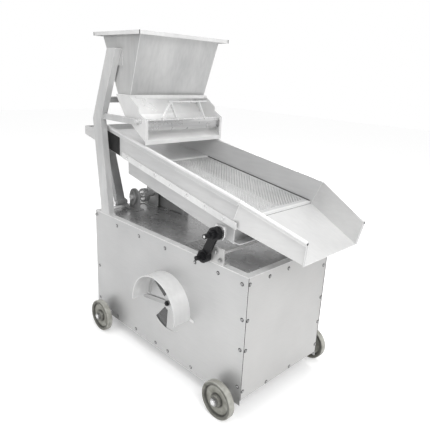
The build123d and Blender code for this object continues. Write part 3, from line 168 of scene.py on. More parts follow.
def make_floor():
    mesh = bpy.data.meshes.new("studio_floor")
    corners = [(x * FLOOR_REACH, y * FLOOR_REACH, 0) for x, y in ((-1, -1), (1, -1), (1, 1), (-1, 1))]
    mesh.from_pydata(corners, [], [(0, 1, 2, 3)])
    floor = bpy.data.objects.new("studio_floor", mesh)
    bpy.context.scene.collection.objects.link(floor)
    material = bpy.data.materials.new("studio_floor")
    material.use_nodes = True
    tree = material.node_tree
    tree.nodes.clear()
    path = tree.nodes.new("ShaderNodeLightPath")
    mirrored = tree.nodes.new("ShaderNodeMath")
    mirrored.operation = "MULTIPLY"
    mirrored.inputs[1].default_value = MIRRORED_GLOW
    seen = tree.nodes.new("ShaderNodeMath")
    seen.operation = "MULTIPLY_ADD"
    seen.inputs[1].default_value = FLOOR_GLOW
    diffuse = tree.nodes.new("ShaderNodeBsdfDiffuse")
    diffuse.inputs["Color"].default_value = FLOOR_TONE
    glow = tree.nodes.new("ShaderNodeEmission")
    glow.inputs["Color"].default_value = (1, 1, 1, 1)
    both = tree.nodes.new("ShaderNodeAddShader")
    out = tree.nodes.new("ShaderNodeOutputMaterial")
    link = tree.links.new
    link(path.outputs["Is Glossy Ray"], mirrored.inputs[0])
    link(path.outputs["Is Camera Ray"], seen.inputs[0])
    link(mirrored.outputs[0], seen.inputs[2])
    link(seen.outputs[0], glow.inputs["Strength"])
    link(diffuse.outputs[0], both.inputs[0])
    link(glow.outputs[0], both.inputs[1])
    link(both.outputs[0], out.inputs["Surface"])
    mesh.materials.append(material)


def noise_node(tree, scale, detail, stretch):
    coords = tree.nodes.new("ShaderNodeTexCoord")
    mapping = tree.nodes.new("ShaderNodeMapping")
    mapping.inputs["Scale"].default_value = stretch
    noise = tree.nodes.new("ShaderNodeTexNoise")
    noise.inputs["Scale"].default_value = scale
    noise.inputs["Detail"].default_value = detail
    tree.links.new(coords.outputs["Object"], mapping.inputs["Vector"])
    tree.links.new(mapping.outputs[0], noise.inputs["Vector"])
    return noise


def spread(tree, source, low, high):
    ramp = tree.nodes.new("ShaderNodeMapRange")
    ramp.inputs["From Min"].default_value = 0.3
    ramp.inputs["From Max"].default_value = 0.7
    ramp.inputs["To Min"].default_value = low
    ramp.inputs["To Max"].default_value = high
    tree.links.new(source, ramp.inputs["Value"])
    return ramp.outputs["Result"]


def tinted(tree, factor, dark, light):
    mix = tree.nodes.new("ShaderNodeMix")
    mix.data_type = "RGBA"
    mix.inputs["A"].default_value = (*dark, 1)
    mix.inputs["B"].default_value = (*light, 1)
    tree.links.new(factor, mix.inputs["Factor"])
    return mix.outputs["Result"]


def edge_wear_and_highlight(tree, colour, wear_and_highlight):
    # Paler colour along folds, cut edges and corners: partly wear from handling, partly a painted edge
    # highlight.
    bevel = tree.nodes.new("ShaderNodeBevel")
    bevel.samples = 4
    bevel.inputs["Radius"].default_value = 0.0028
    geometry = tree.nodes.new("ShaderNodeNewGeometry")
    along = tree.nodes.new("ShaderNodeVectorMath")
    along.operation = "DOT_PRODUCT"
    tree.links.new(bevel.outputs[0], along.inputs[0])
    tree.links.new(geometry.outputs["Normal"], along.inputs[1])
    edge = tree.nodes.new("ShaderNodeMapRange")
    edge.inputs["From Min"].default_value = 0.995
    edge.inputs["From Max"].default_value = 0.86
    edge.inputs["To Min"].default_value = 0.0
    edge.inputs["To Max"].default_value = 0.85
    tree.links.new(along.outputs["Value"], edge.inputs["Value"])
    mix = tree.nodes.new("ShaderNodeMix")
    mix.data_type = "RGBA"
    mix.inputs["B"].default_value = (*wear_and_highlight, 1)
    tree.links.new(edge.outputs["Result"], mix.inputs["Factor"])
    tree.links.new(colour, mix.inputs["A"])
    return mix.outputs["Result"]


def worn_metal(name, dark, light, rough, metallic=1.0, grain=(1, 1, 40), grain_scale=22,
               cloud_scale=4.5, bump=0.03, bump_scale=None, wear_and_highlight=None, cloud=(1, 1, 1), specular=0.5):
    # Rolled sheet: a long fine grain, broad clouds in the tone and faint handling marks.
    material = bpy.data.materials.new(name)
    material.use_nodes = True
    tree = material.node_tree
    shader = tree.nodes["Principled BSDF"]
    shader.inputs["Metallic"].default_value = metallic
    shader.inputs["Specular IOR Level"].default_value = specular
    clouds = noise_node(tree, cloud_scale, 4, cloud)
    fine = noise_node(tree, grain_scale, 3, grain)
    tone = tree.nodes.new("ShaderNodeMath")
    tone.operation = "ADD"
    tree.links.new(spread(tree, clouds.outputs["Fac"], 0.0, 0.72), tone.inputs[0])
    tree.links.new(spread(tree, fine.outputs["Fac"], 0.0, 0.28), tone.inputs[1])
    colour = tinted(tree, tone.outputs[0], dark, light)
    if wear_and_highlight:
        colour = edge_wear_and_highlight(tree, colour, wear_and_highlight)
    tree.links.new(colour, shader.inputs["Base Color"])
    marks = noise_node(tree, cloud_scale * 2.7, 6, (1, 1.3, 0.8))
    tree.links.new(spread(tree, marks.outputs["Fac"], rough[0], rough[1]), shader.inputs["Roughness"])
    relief = tree.nodes.new("ShaderNodeBump")
    relief.inputs["Strength"].default_value = bump
    relief.inputs["Distance"].default_value = 0.0006
    source = fine if bump_scale is None else noise_node(tree, bump_scale, 5, (1, 1, 1))
    tree.links.new(source.outputs["Fac"], relief.inputs["Height"])
    tree.links.new(relief.outputs[0], shader.inputs["Normal"])
    return material


# Tones of a cast wheel by distance from its axle: hub, recess, web, groove, side of the tyre, tread. The dark
# recess and groove are painted shade, and the pale tread is partly wear and partly a painted highlight.
WHEEL_TONES_AND_SHADE = (
    (0.0000, (0.10, 0.10, 0.095)),
    (0.0235, (0.20, 0.20, 0.185)),
    (0.0275, (0.06, 0.06, 0.055)),
    (0.0330, (0.27, 0.27, 0.245)),
    (0.0540, (0.31, 0.31, 0.285)),
    (0.0600, (0.07, 0.07, 0.065)),
    (0.0650, (0.15, 0.15, 0.135)),
    (0.0715, (0.17, 0.17, 0.155)),
    (0.0748, (0.36, 0.36, 0.335)),
    (0.0765, (0.40, 0.40, 0.375)),
)


def cast_wheel(name, axle_x):
    # A grey casting, paler on its tread and web than in the groove inside the tyre: the dark groove and
    # recess are painted shade, the pale tread partly wear and partly a painted highlight.
    material = bpy.data.materials.new(name)
    material.use_nodes = True
    tree = material.node_tree
    shader = tree.nodes["Principled BSDF"]
    shader.inputs["Metallic"].default_value = 0.35
    coords = tree.nodes.new("ShaderNodeTexCoord")
    radial = tree.nodes.new("ShaderNodeVectorMath")
    radial.operation = "MULTIPLY_ADD"
    radial.inputs[1].default_value = (1, 0, 1)
    radial.inputs[2].default_value = (-axle_x, 0, -WHEEL_RADIUS)
    distance = tree.nodes.new("ShaderNodeVectorMath")
    distance.operation = "LENGTH"
    tree.links.new(coords.outputs["Object"], radial.inputs[0])
    tree.links.new(radial.outputs[0], distance.inputs[0])
    scale = tree.nodes.new("ShaderNodeMath")
    scale.operation = "DIVIDE"
    scale.inputs[1].default_value = WHEEL_RADIUS
    tree.links.new(distance.outputs["Value"], scale.inputs[0])
    ramp = tree.nodes.new("ShaderNodeValToRGB")
    elements = ramp.color_ramp.elements
    while len(elements) < len(WHEEL_TONES_AND_SHADE):
        elements.new(0.5)
    for element, (reach, tone) in zip(elements, WHEEL_TONES_AND_SHADE):
        element.position = min(1.0, reach / WHEEL_RADIUS)
        element.color = (*tone, 1)
    tree.links.new(scale.outputs[0], ramp.inputs["Fac"])
    dirt = noise_node(tree, 38, 6, (1, 1, 1))
    soiled = tree.nodes.new("ShaderNodeMix")
    soiled.data_type = "RGBA"
    soiled.blend_type = "MULTIPLY"
    soiled.inputs["Factor"].default_value = 1.0
    tree.links.new(ramp.outputs["Color"], soiled.inputs["A"])
    patches = tinted(tree, spread(tree, dirt.outputs["Fac"], 0, 1), (0.62, 0.61, 0.58), (1.12, 1.12, 1.1))
    tree.links.new(patches, soiled.inputs["B"])
    tree.links.new(soiled.outputs["Result"], shader.inputs["Base Color"])
    tree.links.new(spread(tree, dirt.outputs["Fac"], 0.62, 0.44), shader.inputs["Roughness"])
    relief = tree.nodes.new("ShaderNodeBump")
    relief.inputs["Strength"].default_value = 0.35
    relief.inputs["Distance"].default_value = 0.0006
    tree.links.new(noise_node(tree, 150, 5, (1, 1, 1)).outputs["Fac"], relief.inputs["Height"])
    tree.links.new(relief.outputs[0], shader.inputs["Normal"])
    return material


# Colour of the pale folds and edges: partly wear, partly a painted edge highlight
PALE_EDGE = (0.80, 0.80, 0.80)
MATERIALS = {
    "panel": worn_metal("panel_steel", (0.42, 0.422, 0.425), (0.54, 0.54, 0.536), (0.36, 0.50), 0.50,
                        cloud_scale=2.0, wear_and_highlight=PALE_EDGE),
    "end": worn_metal("end_steel", (0.46, 0.458, 0.454), (0.54, 0.537, 0.53), (0.38, 0.52), 0.45,
                      cloud_scale=2.2, wear_and_highlight=PALE_EDGE),
    "edge": worn_metal("edge_steel", (0.60, 0.60, 0.60), (0.76, 0.76, 0.755), (0.34, 0.48), 0.30,
                       cloud_scale=6.0),
    "hopper": worn_metal("hopper_steel", (0.42, 0.423, 0.425), (0.60, 0.60, 0.595), (0.30, 0.46), 0.60,
                         grain=(9, 9, 1), grain_scale=9, cloud_scale=3.0, cloud=(1.6, 2.0, 0.7),
                         wear_and_highlight=PALE_EDGE),
    "rim": worn_metal("rim_steel", (0.60, 0.60, 0.60), (0.76, 0.76, 0.755), (0.32, 0.46), 0.28,
                      grain=(6, 6, 1), grain_scale=9, cloud_scale=5.0),
    "feed": worn_metal("feed_steel", (0.58, 0.58, 0.58), (0.76, 0.76, 0.755), (0.26, 0.38), 0.38,
                       grain=(4, 2, 3), grain_scale=5, cloud_scale=4.0, cloud=(1, 1.6, 0.6), bump=0.0,
                       wear_and_highlight=PALE_EDGE),
    "flap": worn_metal("flap_steel", (0.26, 0.262, 0.265), (0.60, 0.60, 0.60), (0.24, 0.36), 0.72,
                       grain=(1, 0.4, 9), grain_scale=9, cloud_scale=7.0, cloud=(0.5, 0.4, 4), bump=0.0),
    "tray": worn_metal("tray_steel", (0.46, 0.462, 0.465), (0.60, 0.60, 0.598), (0.32, 0.48), 0.38,
                       grain=(1, 9, 9), grain_scale=9, cloud_scale=3.0, wear_and_highlight=PALE_EDGE),
    "under": worn_metal("under_steel", (0.40, 0.402, 0.405), (0.52, 0.52, 0.518), (0.34, 0.48), 0.42,
                        grain=(1, 9, 9), grain_scale=9, cloud_scale=3.0, wear_and_highlight=PALE_EDGE),
    # Painted light: a paler copy of the tray steel, so that the chute floor reads as brightly lit
    "chute": worn_metal("chute_steel_painted_light", (0.50, 0.50, 0.50), (0.62, 0.62, 0.615), (0.30, 0.44), 0.32,
                        grain=(1, 9, 9), grain_scale=9, cloud_scale=3.0, wear_and_highlight=PALE_EDGE),
    "screen": worn_metal("screen_steel", (0.46, 0.463, 0.465), (0.62, 0.62, 0.617), (0.30, 0.44), 0.55,
                         grain=(1, 9, 9), grain_scale=9, cloud_scale=6.0),
    "bright": worn_metal("bright_steel", (0.60, 0.602, 0.605), (0.80, 0.80, 0.798), (0.20, 0.34), 0.75),
    "post": worn_metal("post_steel", (0.42, 0.422, 0.424), (0.58, 0.58, 0.577), (0.34, 0.46), 0.25,
                       grain=(9, 9, 1), grain_scale=9, cloud_scale=5.0, cloud=(2, 2, 0.8), wear_and_highlight=PALE_EDGE),
    "bolt": worn_metal("bolt_steel", (0.24, 0.24, 0.242), (0.46, 0.46, 0.458), (0.24, 0.40), 0.80),
    "deck": worn_metal("deck_steel", (0.27, 0.27, 0.272), (0.44, 0.44, 0.442), (0.20, 0.34), 0.60,
                       grain=(1, 9, 9), grain_scale=9, cloud_scale=5.0, cloud=(0.6, 1.6, 1)),
    "leg": worn_metal("leg_steel", (0.26, 0.262, 0.264), (0.42, 0.42, 0.42), (0.32, 0.50), 0.45,
                      cloud_scale=8.0, wear_and_highlight=PALE_EDGE),
    "dull": worn_metal("dull_steel", (0.20, 0.202, 0.204), (0.36, 0.36, 0.36), (0.32, 0.50), 0.50,
                       cloud_scale=6.0, wear_and_highlight=(0.66, 0.66, 0.66)),
    "shade": worn_metal("shaded_steel", (0.15, 0.15, 0.152), (0.24, 0.24, 0.242), (0.36, 0.52), 0.50,
                        cloud_scale=6.0),
    "black": worn_metal("black_casting", (0.005, 0.005, 0.006), (0.015, 0.015, 0.016), (0.30, 0.46), 0.0,
                        bump=0.25, bump_scale=160, specular=0.20),
    "seam": worn_metal("dark_seam", (0.030, 0.030, 0.031), (0.070, 0.070, 0.072), (0.50, 0.65), 0.0,
                       bump=0.15, bump_scale=140, specular=0.25),
    "front_wheel": cast_wheel("front_wheel_casting", FRONT_AXLE),
    "rear_wheel": cast_wheel("rear_wheel_casting", REAR_AXLE),
    "motor": worn_metal("motor_paint", (0.10, 0.11, 0.12), (0.16, 0.17, 0.18), (0.40, 0.55), 0.0,
                        bump=0.10, bump_scale=90),
    "belt": worn_metal("belt_rubber", (0.012, 0.012, 0.012), (0.03, 0.03, 0.03), (0.60, 0.75), 0.0,
                       bump=0.15, bump_scale=200, specular=0.25),
}

FINISHES = {
    "panel": ("fan_side_panel", "far_side_panel", "air_shutter"),
    "end": ("discharge_end_panel", "rear_end_panel", "rocker_base"),
    "edge": ("base_frame", "front_plate", "screen_end_strip"),
    "hopper": ("hopper_shell", "hopper_cleats"),
    "rim": ("hopper_rim", "inlet_hood", "clamp_strips"),
    "feed": ("feed_box",),
    "flap": ("feed_gate",),
    "tray": ("tray_shell", "feed_plate"),
    "under": ("subframe",),
    "chute": ("chute",),
    "screen": ("screen",),
    "bright": ("gate_shaft", "gate_arms", "front_axle", "rear_axle", "fan_shaft", "eccentric_shaft",
               "leg_foot_bolts"),
    "post": ("near_post", "far_post", "hopper_bars"),
    "bolt": ("hub_nuts", "shutter_lever", "flange_bearings"),
    "deck": ("top_deck",),
    "leg": ("rear_leg_near", "rear_leg_far", "leg_feet", "connecting_rod", "bearing_stands"),
    "dull": ("blower_housing", "impeller", "fan_pedestal"),
    "black": ("rocker_near", "rocker_far", "lower_bolts", "upper_bolt_near", "upper_bolt_far",
              "shutter_spindle", "fan_bearings", "fan_pulley", "motor_rotor", "drive_pulley"),
    "front_wheel": ("wheel_front_near", "wheel_front_far"),
    "rear_wheel": ("wheel_rear_near", "wheel_rear_far"),
    "motor": ("motor",),
    "belt": ("fan_belt", "drive_belt"),
}


def finish_nodes():
    for finish, names in FINISHES.items():
        for name in names:
            data = nodes[name].data
            data.materials.clear()
            data.materials.append(MATERIALS[finish])


def add_piece(name, mesh, finish, body):
    piece = bpy.data.objects.new(name, mesh)
    bpy.context.scene.collection.objects.link(piece)
    mesh.materials.append(MATERIALS[finish])
    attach(piece, body)
    return piece


def dome_ring(work, centre, normal, radius, height, sides=12):
    # A pan head: a short rim that closes in a shallow dome.
    normal = Vector(normal).normalized()
    side = normal.orthogonal().normalized()
    other = normal.cross(side)
    levels = ((1.0, 0.0), (1.0, 0.35), (0.80, 0.75), (0.42, 0.96))
    rings = []
    for spread_out, rise in levels:
        ring = []
        for step in range(sides):
            turn = 2 * math.pi * step / sides
            offset = radius * spread_out * (math.cos(turn) * side + math.sin(turn) * other)
            ring.append(work.verts.new(Vector(centre) + offset + normal * height * rise))
        rings.append(ring)
    for low, high in zip(rings, rings[1:]):
        for step in range(sides):
            following = (step + 1) % sides
            work.faces.new((low[step], low[following], high[following], high[step]))
    work.faces.new(rings[-1])
    work.faces.new(list(reversed(rings[0])))


def hex_head(work, centre, normal, radius, height, washer):
    normal = Vector(normal).normalized()
    side = normal.orthogonal().normalized()
    other = normal.cross(side)

    def ring(size, rise, sides, shift=0.0):
        return [work.verts.new(Vector(centre) + normal * rise + size * (
            math.cos(2 * math.pi * (step + shift) / sides) * side
            + math.sin(2 * math.pi * (step + shift) / sides) * other)) for step in range(sides)]

    for sides, size, low, high in ((18, washer, 0.0, 0.0012), (6, radius, 0.0012, 0.0012 + height)):
        foot, crown = ring(size, low, sides), ring(size, high, sides)
        top = ring(size * 0.86, high + 0.0006, sides)
        for a, b in ((foot, crown), (crown, top)):
            for step in range(sides):
                following = (step + 1) % sides
                work.faces.new((a[step], a[following], b[following], b[step]))
        work.faces.new(top)
        work.faces.new(list(reversed(foot)))


def to_mesh(work, name, smooth=True):
    bmesh.ops.recalc_face_normals(work, faces=work.faces)
    mesh = bpy.data.meshes.new(name)
    work.to_mesh(mesh)
    work.free()
    if smooth:
        for face in mesh.polygons:
            face.use_smooth = True
        mesh.set_sharp_from_angle(angle=math.radians(35))
    return mesh


# Screws of the cabinet sheets, as (x, z) on the sides and (y, z) on the ends, in millimetres
FAN_SIDE_SCREWS = (
    (-303, 553), (-128, 553), (56, 553), (241, 553), (368, 553), (488, 553),
    (499, 417), (499, 293), (499, 134),
    (-309, 77), (-155, 77), (-3, 77), (84, 77), (237, 77),
    (-469, 297), (-469, 118),
)
END_SCREWS = (
    (-240, 559), (-131, 559), (-18, 559), (95, 559), (231, 505),
    (-238, 416), (-238, 293), (-238, 117),
    (240, 353), (240, 234), (240, 120),
    (-96, 90), (56, 90),
)
SCREW_RADIUS = 5.4
SCREW_RISE = 4.4
SHADE_RING_RADIUS = 8.0
SHADE_RING_RISE = 1.2


def add_panel_screws():
    # Pan heads, each on a dark ring that paints the shade round the head
    heads, shade_rings = bmesh.new(), bmesh.new()
    places = []
    for x, z in FAN_SIDE_SCREWS:
        places += [((x * MM, side * HALF_WIDTH, z * MM), (0, side, 0)) for side in (-1, 1)]
    for y, z in END_SCREWS:
        places += [((face, y * MM, z * MM), (out, 0, 0)) for face, out in ((FRONT_FACE, 1), (REAR_FACE, -1))]
    for place, normal in places:
        dome_ring(shade_rings, place, normal, SHADE_RING_RADIUS * MM, SHADE_RING_RISE * MM)
        dome_ring(heads, place, normal, SCREW_RADIUS * MM, SCREW_RISE * MM)
    add_piece("panel_screw_heads", to_mesh(heads, "panel_screw_heads"), "bolt", "cabinet")
    add_piece("panel_screw_shade_rings", to_mesh(shade_rings, "panel_screw_shade_rings"), "seam", "cabinet")


def rim_height(x):
    return RIM_HEIGHT - TRAY_SLOPE * x


def wall_half(x):
    return WALL_HALF + TRAY_TAPER * x


STRIP_BOLT_PLACES = (-0.275, -0.165, -0.055, 0.055, 0.165, 0.275, 0.375)
STRIP_BOLT_DROP = 0.099


def add_strip_bolts():
    work = bmesh.new()
    for x in STRIP_BOLT_PLACES:
        for side in (-1, 1):
            y = side * (STRIP_FACE + TRAY_TAPER * x)
            normal = (-TRAY_TAPER, side, 0)
            hex_head(work, (x, y, rim_height(x) - STRIP_BOLT_DROP), normal, 0.0055, 0.004, 0.0075)
    add_piece("strip_bolt_heads", to_mesh(work, "strip_bolt_heads"), "bright", "tray")


ROW_PITCH = 0.0082
COLUMN_PITCH = 0.0164
HOLE_SIZE = 0.0085
SCREEN_MARGIN = 0.012
SCREEN_SHEET = 0.002
SCREEN_GAP = 0.0025
HOLE_SIDES = 8


def add_screen():
    # Perforated sheet: each cell has a round hole, and rows are staggered by half a column.
    fall = math.atan(TRAY_SLOPE)
    length = (SCREEN_FRONT - SCREEN_REAR) / math.cos(fall)
    rows = int((length - 2 * SCREEN_MARGIN) / ROW_PITCH)
    start = (length - rows * ROW_PITCH) / 2
    origin = Vector((SCREEN_REAR, 0, rim_height(SCREEN_REAR) - FLOOR_DROP))
    along = Vector((math.cos(fall), 0, -math.sin(fall)))
    up = Vector((math.sin(fall), 0, math.cos(fall)))
    across = Vector((0, 1, 0))

    def place(s, y):
        return origin + along * s + across * y

    def half_at(s):
        x = SCREEN_REAR + s * math.cos(fall)
        return wall_half(x) - SCREEN_GAP

    work = bmesh.new()
    known = {}

    def vert(s, y):
        key = (round(s, 6), round(y, 6))
        if key not in known:
            known[key] = work.verts.new(place(s, y))
        return known[key]

    for row in range(rows):
        s0 = start + row * ROW_PITCH
        s1 = s0 + ROW_PITCH
        shift = 0.5 * COLUMN_PITCH * (row % 2)
        reach = half_at(s0) - SCREEN_MARGIN
        first = math.ceil((-reach - shift) / COLUMN_PITCH)
        last = math.floor((reach - shift) / COLUMN_PITCH)
        left = first * COLUMN_PITCH + shift
        right = last * COLUMN_PITCH + shift
        for column in range(first, last):
            y0 = column * COLUMN_PITCH + shift
            y1 = (column + 1) * COLUMN_PITCH + shift
            corners = [vert(s0, y0), vert(s1, y0), vert(s1, y1), vert(s0, y1)]
            middle_s, middle_y = (s0 + s1) / 2, (y0 + y1) / 2
            hole = []
            for step in range(HOLE_SIDES):
                turn = 2 * math.pi * (step + 0.5) / HOLE_SIDES + math.pi
                hole.append(work.verts.new(place(middle_s + HOLE_SIZE / 2 * math.cos(turn),
                                                 middle_y + HOLE_SIZE / 2 * math.sin(turn))))
            # Two hole points face each side of the cell, beginning at its low corner.
            for corner in range(4):
                a = hole[(2 * corner) % HOLE_SIDES]
                b = hole[(2 * corner + 1) % HOLE_SIDES]
                c = hole[(2 * corner + 2) % HOLE_SIDES]
                work.faces.new((corners[corner], corners[(corner + 1) % 4], b, a))
                work.faces.new((corners[(corner + 1) % 4], c, b))
        for edge, limit in ((left, -1), (right, 1)):
            outer0, outer1 = limit * half_at(s0), limit * half_at(s1)
            work.faces.new((vert(s0, edge), vert(s1, edge), vert(s1, outer1), vert(s0, outer0)))
    for s0, s1 in ((0, start), (start + rows * ROW_PITCH, length)):
        work.faces.new((work.verts.new(place(s0, -half_at(s0))), work.verts.new(place(s1, -half_at(s1))),
                        work.verts.new(place(s1, half_at(s1))), work.verts.new(place(s0, half_at(s0)))))
    bmesh.ops.recalc_face_normals(work, faces=work.faces)
    mesh = bpy.data.meshes.new("perforated_screen")
    work.to_mesh(mesh)
    work.free()
    screen = add_piece("perforated_screen", mesh, "screen", "tray")
    thick = screen.modifiers.new("sheet", "SOLIDIFY")
    thick.thickness = SCREEN_SHEET
    thick.offset = -1 if mesh.polygons[0].normal.dot(up) > 0 else 1
    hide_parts("screen")


def loft(work, sections):
    # A closed skin through rings of points, with both ends capped
    rings = [[work.verts.new(point) for point in section] for section in sections]
    for low, high in zip(rings, rings[1:]):
        for step in range(len(low)):
            following = (step + 1) % len(low)
            work.faces.new((low[step], low[following], high[following], high[step]))
    work.faces.new(list(reversed(rings[0])))
    work.faces.new(rings[-1])


def rod(work, points, radius, sides=10):
    points = [Vector(point) for point in points]
    sections = []
    for index, point in enumerate(points):
        before, after = points[max(index - 1, 0)], points[min(index + 1, len(points) - 1)]
        along = (after - before).normalized()
        guide = Vector((0, 1, 0)) if abs(along.z) > 0.8 else Vector((0, 0, 1))
        side = along.cross(guide).normalized()
        other = side.cross(along)
        sections.append([point + radius * (math.cos(turn) * side + math.sin(turn) * other)
                         for turn in (2 * math.pi * step / sides for step in range(sides))])
    loft(work, sections)


def strip(work, start, end, across, up, width, height, chamfer=0.25):
    # A bar of rounded rectangular section, its foot centred on the line from start to end
    across, up = Vector(across).normalized() * width / 2, Vector(up).normalized() * height
    section = ((-1, 0), (1, 0), (1, 1 - chamfer), (1 - 2 * chamfer * height / width, 1),
               (-1 + 2 * chamfer * height / width, 1), (-1, 1 - chamfer))
    loft(work, [[Vector(place) + a * across + b * up for a, b in section] for place in (start, end)])


def new_piece(name, build, finish, body, smooth=True):
    work = bmesh.new()
    build(work)
    return add_piece(name, to_mesh(work, name, smooth), finish, body)


# Rims of the tray, as (x, half width), and of the chute, as (x, half width, height), in metres
TRAY_RIM = tuple((x, wall_half(x) + 0.005) for x in (-0.484, 0.456))
RIM_BEAD = 0.0068
RIM_BEAD_DROP = 0.0040
CHUTE_BEAD = 0.0063
CHUTE_BEAD_DROP = 0.0034
CHUTE_BEAD_STOP = 0.0028
CHUTE_RIM = ((0.4575, 0.2535, 0.8500), (0.692, 0.1822, 0.7543))
LIP_FOOT = (0.678, 0.164, 0.662)
LIP_RETURN = 0.011
LIP_SHEET = 0.002
LIP_HEAD_HALF = 0.177
BEAD_SHADE_DROP = 0.0060
BEAD_SHADE_RADIUS = 0.0048


def rim_beads(work):
    for side in (-1, 1):
        rod(work, [(x, side * half, rim_height(x) - RIM_BEAD_DROP) for x, half in TRAY_RIM], RIM_BEAD)
        (x0, half0, z0), (x1, half1, z1) = CHUTE_RIM
        rod(work, [(x0, side * half0, z0 - CHUTE_BEAD_DROP),
                   (x1 - CHUTE_BEAD_STOP, side * half1, z1 - CHUTE_BEAD_DROP)], CHUTE_BEAD)


def lip_returns(work):
    x1, half1, z1 = CHUTE_RIM[1]
    x0, half0, z0 = LIP_FOOT
    for side in (-1, 1):
        sections = []
        for x, inner, outer, z in ((x0, half0 - 0.001, half0 + LIP_RETURN - 0.002, z0),
                                   (x1, LIP_HEAD_HALF, LIP_HEAD_HALF + LIP_RETURN, z1)):
            sections.append([(x - LIP_SHEET, side * inner, z), (x, side * inner, z),
                             (x, side * outer, z), (x - LIP_SHEET, side * outer, z)])
        loft(work, sections)


# Painted shade: short dark rods at the chute beads' open ends stand in for the shadow inside them
def bead_end_shades(work):
    x, half, z = CHUTE_RIM[1]
    for side in (-1, 1):
        rod(work, [(x - back, side * half, z - BEAD_SHADE_DROP) for back in (0.004, 0.0004)], BEAD_SHADE_RADIUS)


SEAL_INSET = 0.0055
SEAL_END = 0.408


def screen_seals(work):
    # Dark packing along both edges of the screen
    for side in (-1, 1):
        start, end = ((x, side * (wall_half(x) - SEAL_INSET), rim_height(x) - FLOOR_DROP)
                      for x in (SCREEN_REAR, SEAL_END))
        strip(work, start, end, (0, 1, 0), (0, 0, 1), 0.0060, 0.0022)


# Step from the screen's end strip down to the chute floor: sections as (x, z)
STEP_X = 0.409
STRIP_INSET = 0.006
STEP_SECTION = ((0.4072, 0.7592), (0.4105, 0.7588), (0.4140, 0.7515), (0.4140, 0.7500), (0.4030, 0.7500),
                (0.4030, 0.7560))
STEP_SHADE_SECTION = ((0.4030, 0.7500), (0.4142, 0.7500), (0.4142, 0.7462), (0.4030, 0.7462))


def across_step(work, section):
    half = wall_half(STEP_X) - STRIP_INSET
    loft(work, [[(x, y, z) for x, z in section] for y in (-half, half)])


def step_closure(work):
    # A packing under the end strip closes the upper part of the step.
    across_step(work, STEP_SECTION)


def step_shade_line(work):
    # Painted shade: a dark strip along the foot of the step
    across_step(work, STEP_SHADE_SECTION)


def screen_start(work):
    x = SCREEN_REAR - 0.004
    half = wall_half(x) - STRIP_INSET
    z = rim_height(x) - FLOOR_DROP
    strip(work, (x, -half, z), (x, half, z), (1, 0, -TRAY_SLOPE), (0, 0, 1), 0.016, 0.0026)


# Radii of the dark seams at the corners, and of the pale rods along the sheet edges under the deck, which
# paint a highlight there
SEAM_RADIUS = 0.0013
SEAM_INSET = 0.0018
HIGHLIGHT_INSET = 0.0008
SIDE_HIGHLIGHT_RADIUS = 0.0018
END_HIGHLIGHT_RADIUS = 0.0014


def corner_seams(work):
    for face in (FRONT_FACE, REAR_FACE):
        for side in (-1, 1):
            y = side * (HALF_WIDTH - SEAM_INSET)
            rod(work, [(face, y, PANEL_FOOT), (face, y, DECK_EDGE)], SEAM_RADIUS, 8)


# Painted highlight: pale rods along the top edges of the side and end panels
def panel_edge_highlights(work):
    for side in (-1, 1):
        y = side * (HALF_WIDTH - HIGHLIGHT_INSET)
        rod(work, [(REAR_FACE, y, DECK_EDGE), (FRONT_FACE, y, DECK_EDGE)], SIDE_HIGHLIGHT_RADIUS, 8)
    for face in (FRONT_FACE - HIGHLIGHT_INSET, REAR_FACE + HIGHLIGHT_INSET):
        rod(work, [(face, -HALF_WIDTH, DECK_EDGE), (face, HALF_WIDTH, DECK_EDGE)], END_HIGHLIGHT_RADIUS, 8)


# Hopper corners, as (x, half width, height) at the mouth and at the throat
HOPPER_MOUTH = {1: (-0.155, 0.2185, 1.399), -1: (-0.437, 0.2185, 1.399)}
HOPPER_THROAT = {1: (-0.240, 0.212, 1.148), -1: (-0.336, 0.212, 1.148)}
WELD_RADIUS = 0.0009
NOTCH_RADIUS = 0.0017
NOTCH_FOOT, NOTCH_TOP = 1.3862, 1.4008
BAND_X, BAND_HALF, BAND_HEIGHT = -0.2262, 0.1965, 1.1420
RIM_CORNERS = ((-0.124, -0.246), (-0.124, 0.246), (-0.464, -0.246), (-0.464, 0.246))


def hopper_welds(work):
    for end in (1, -1):
        for side in (-1, 1):
            top, foot = HOPPER_MOUTH[end], HOPPER_THROAT[end]
            rod(work, [(top[0], side * top[1], top[2]), (foot[0], side * foot[1], foot[2])], WELD_RADIUS, 8)


def rim_notches(work):
    for x, y in RIM_CORNERS:
        rod(work, [(x, y, NOTCH_FOOT), (x, y, NOTCH_TOP)], NOTCH_RADIUS, 8)


def throat_band(work):
    start, end = ((BAND_X, side * BAND_HALF, BAND_HEIGHT) for side in (-1, 1))
    strip(work, start, end, (0, 0, 1), (1, 0, 0), 0.0150, 0.0034)


# Fan inlet on the near side panel: its centre, the hood's edge and the gauze behind the shutter
INLET_X = 0.082
INLET_Z = 0.311
HOOD_RADIUS = 0.1405
HOOD_FRONT = -0.3316
HOOD_START = -8
HOOD_SWEEP = 191
HOOD_STEPS = 40
HOOD_BEAD = 0.0013
BEAD_SIDES = 8
GAUZE_REACH = 0.122
GAUZE_PITCH = 0.004
GAUZE_UPRIGHT_Y = -0.2452
GAUZE_LEVEL_Y = -0.2440
GAUZE_WIRE = 0.0010


def hood_edge(work):
    rings = []
    for step in range(HOOD_STEPS + 1):
        turn = math.radians(HOOD_START + HOOD_SWEEP * step / HOOD_STEPS)
        outward = Vector((math.cos(turn), 0, math.sin(turn)))
        centre = Vector((INLET_X, HOOD_FRONT, INLET_Z)) + HOOD_RADIUS * outward
        ring = []
        for corner in range(BEAD_SIDES):
            tip = 2 * math.pi * corner / BEAD_SIDES
            ring.append(centre + HOOD_BEAD * (math.cos(tip) * outward + math.sin(tip) * Vector((0, 1, 0))))
        rings.append(ring)
    loft(work, rings)


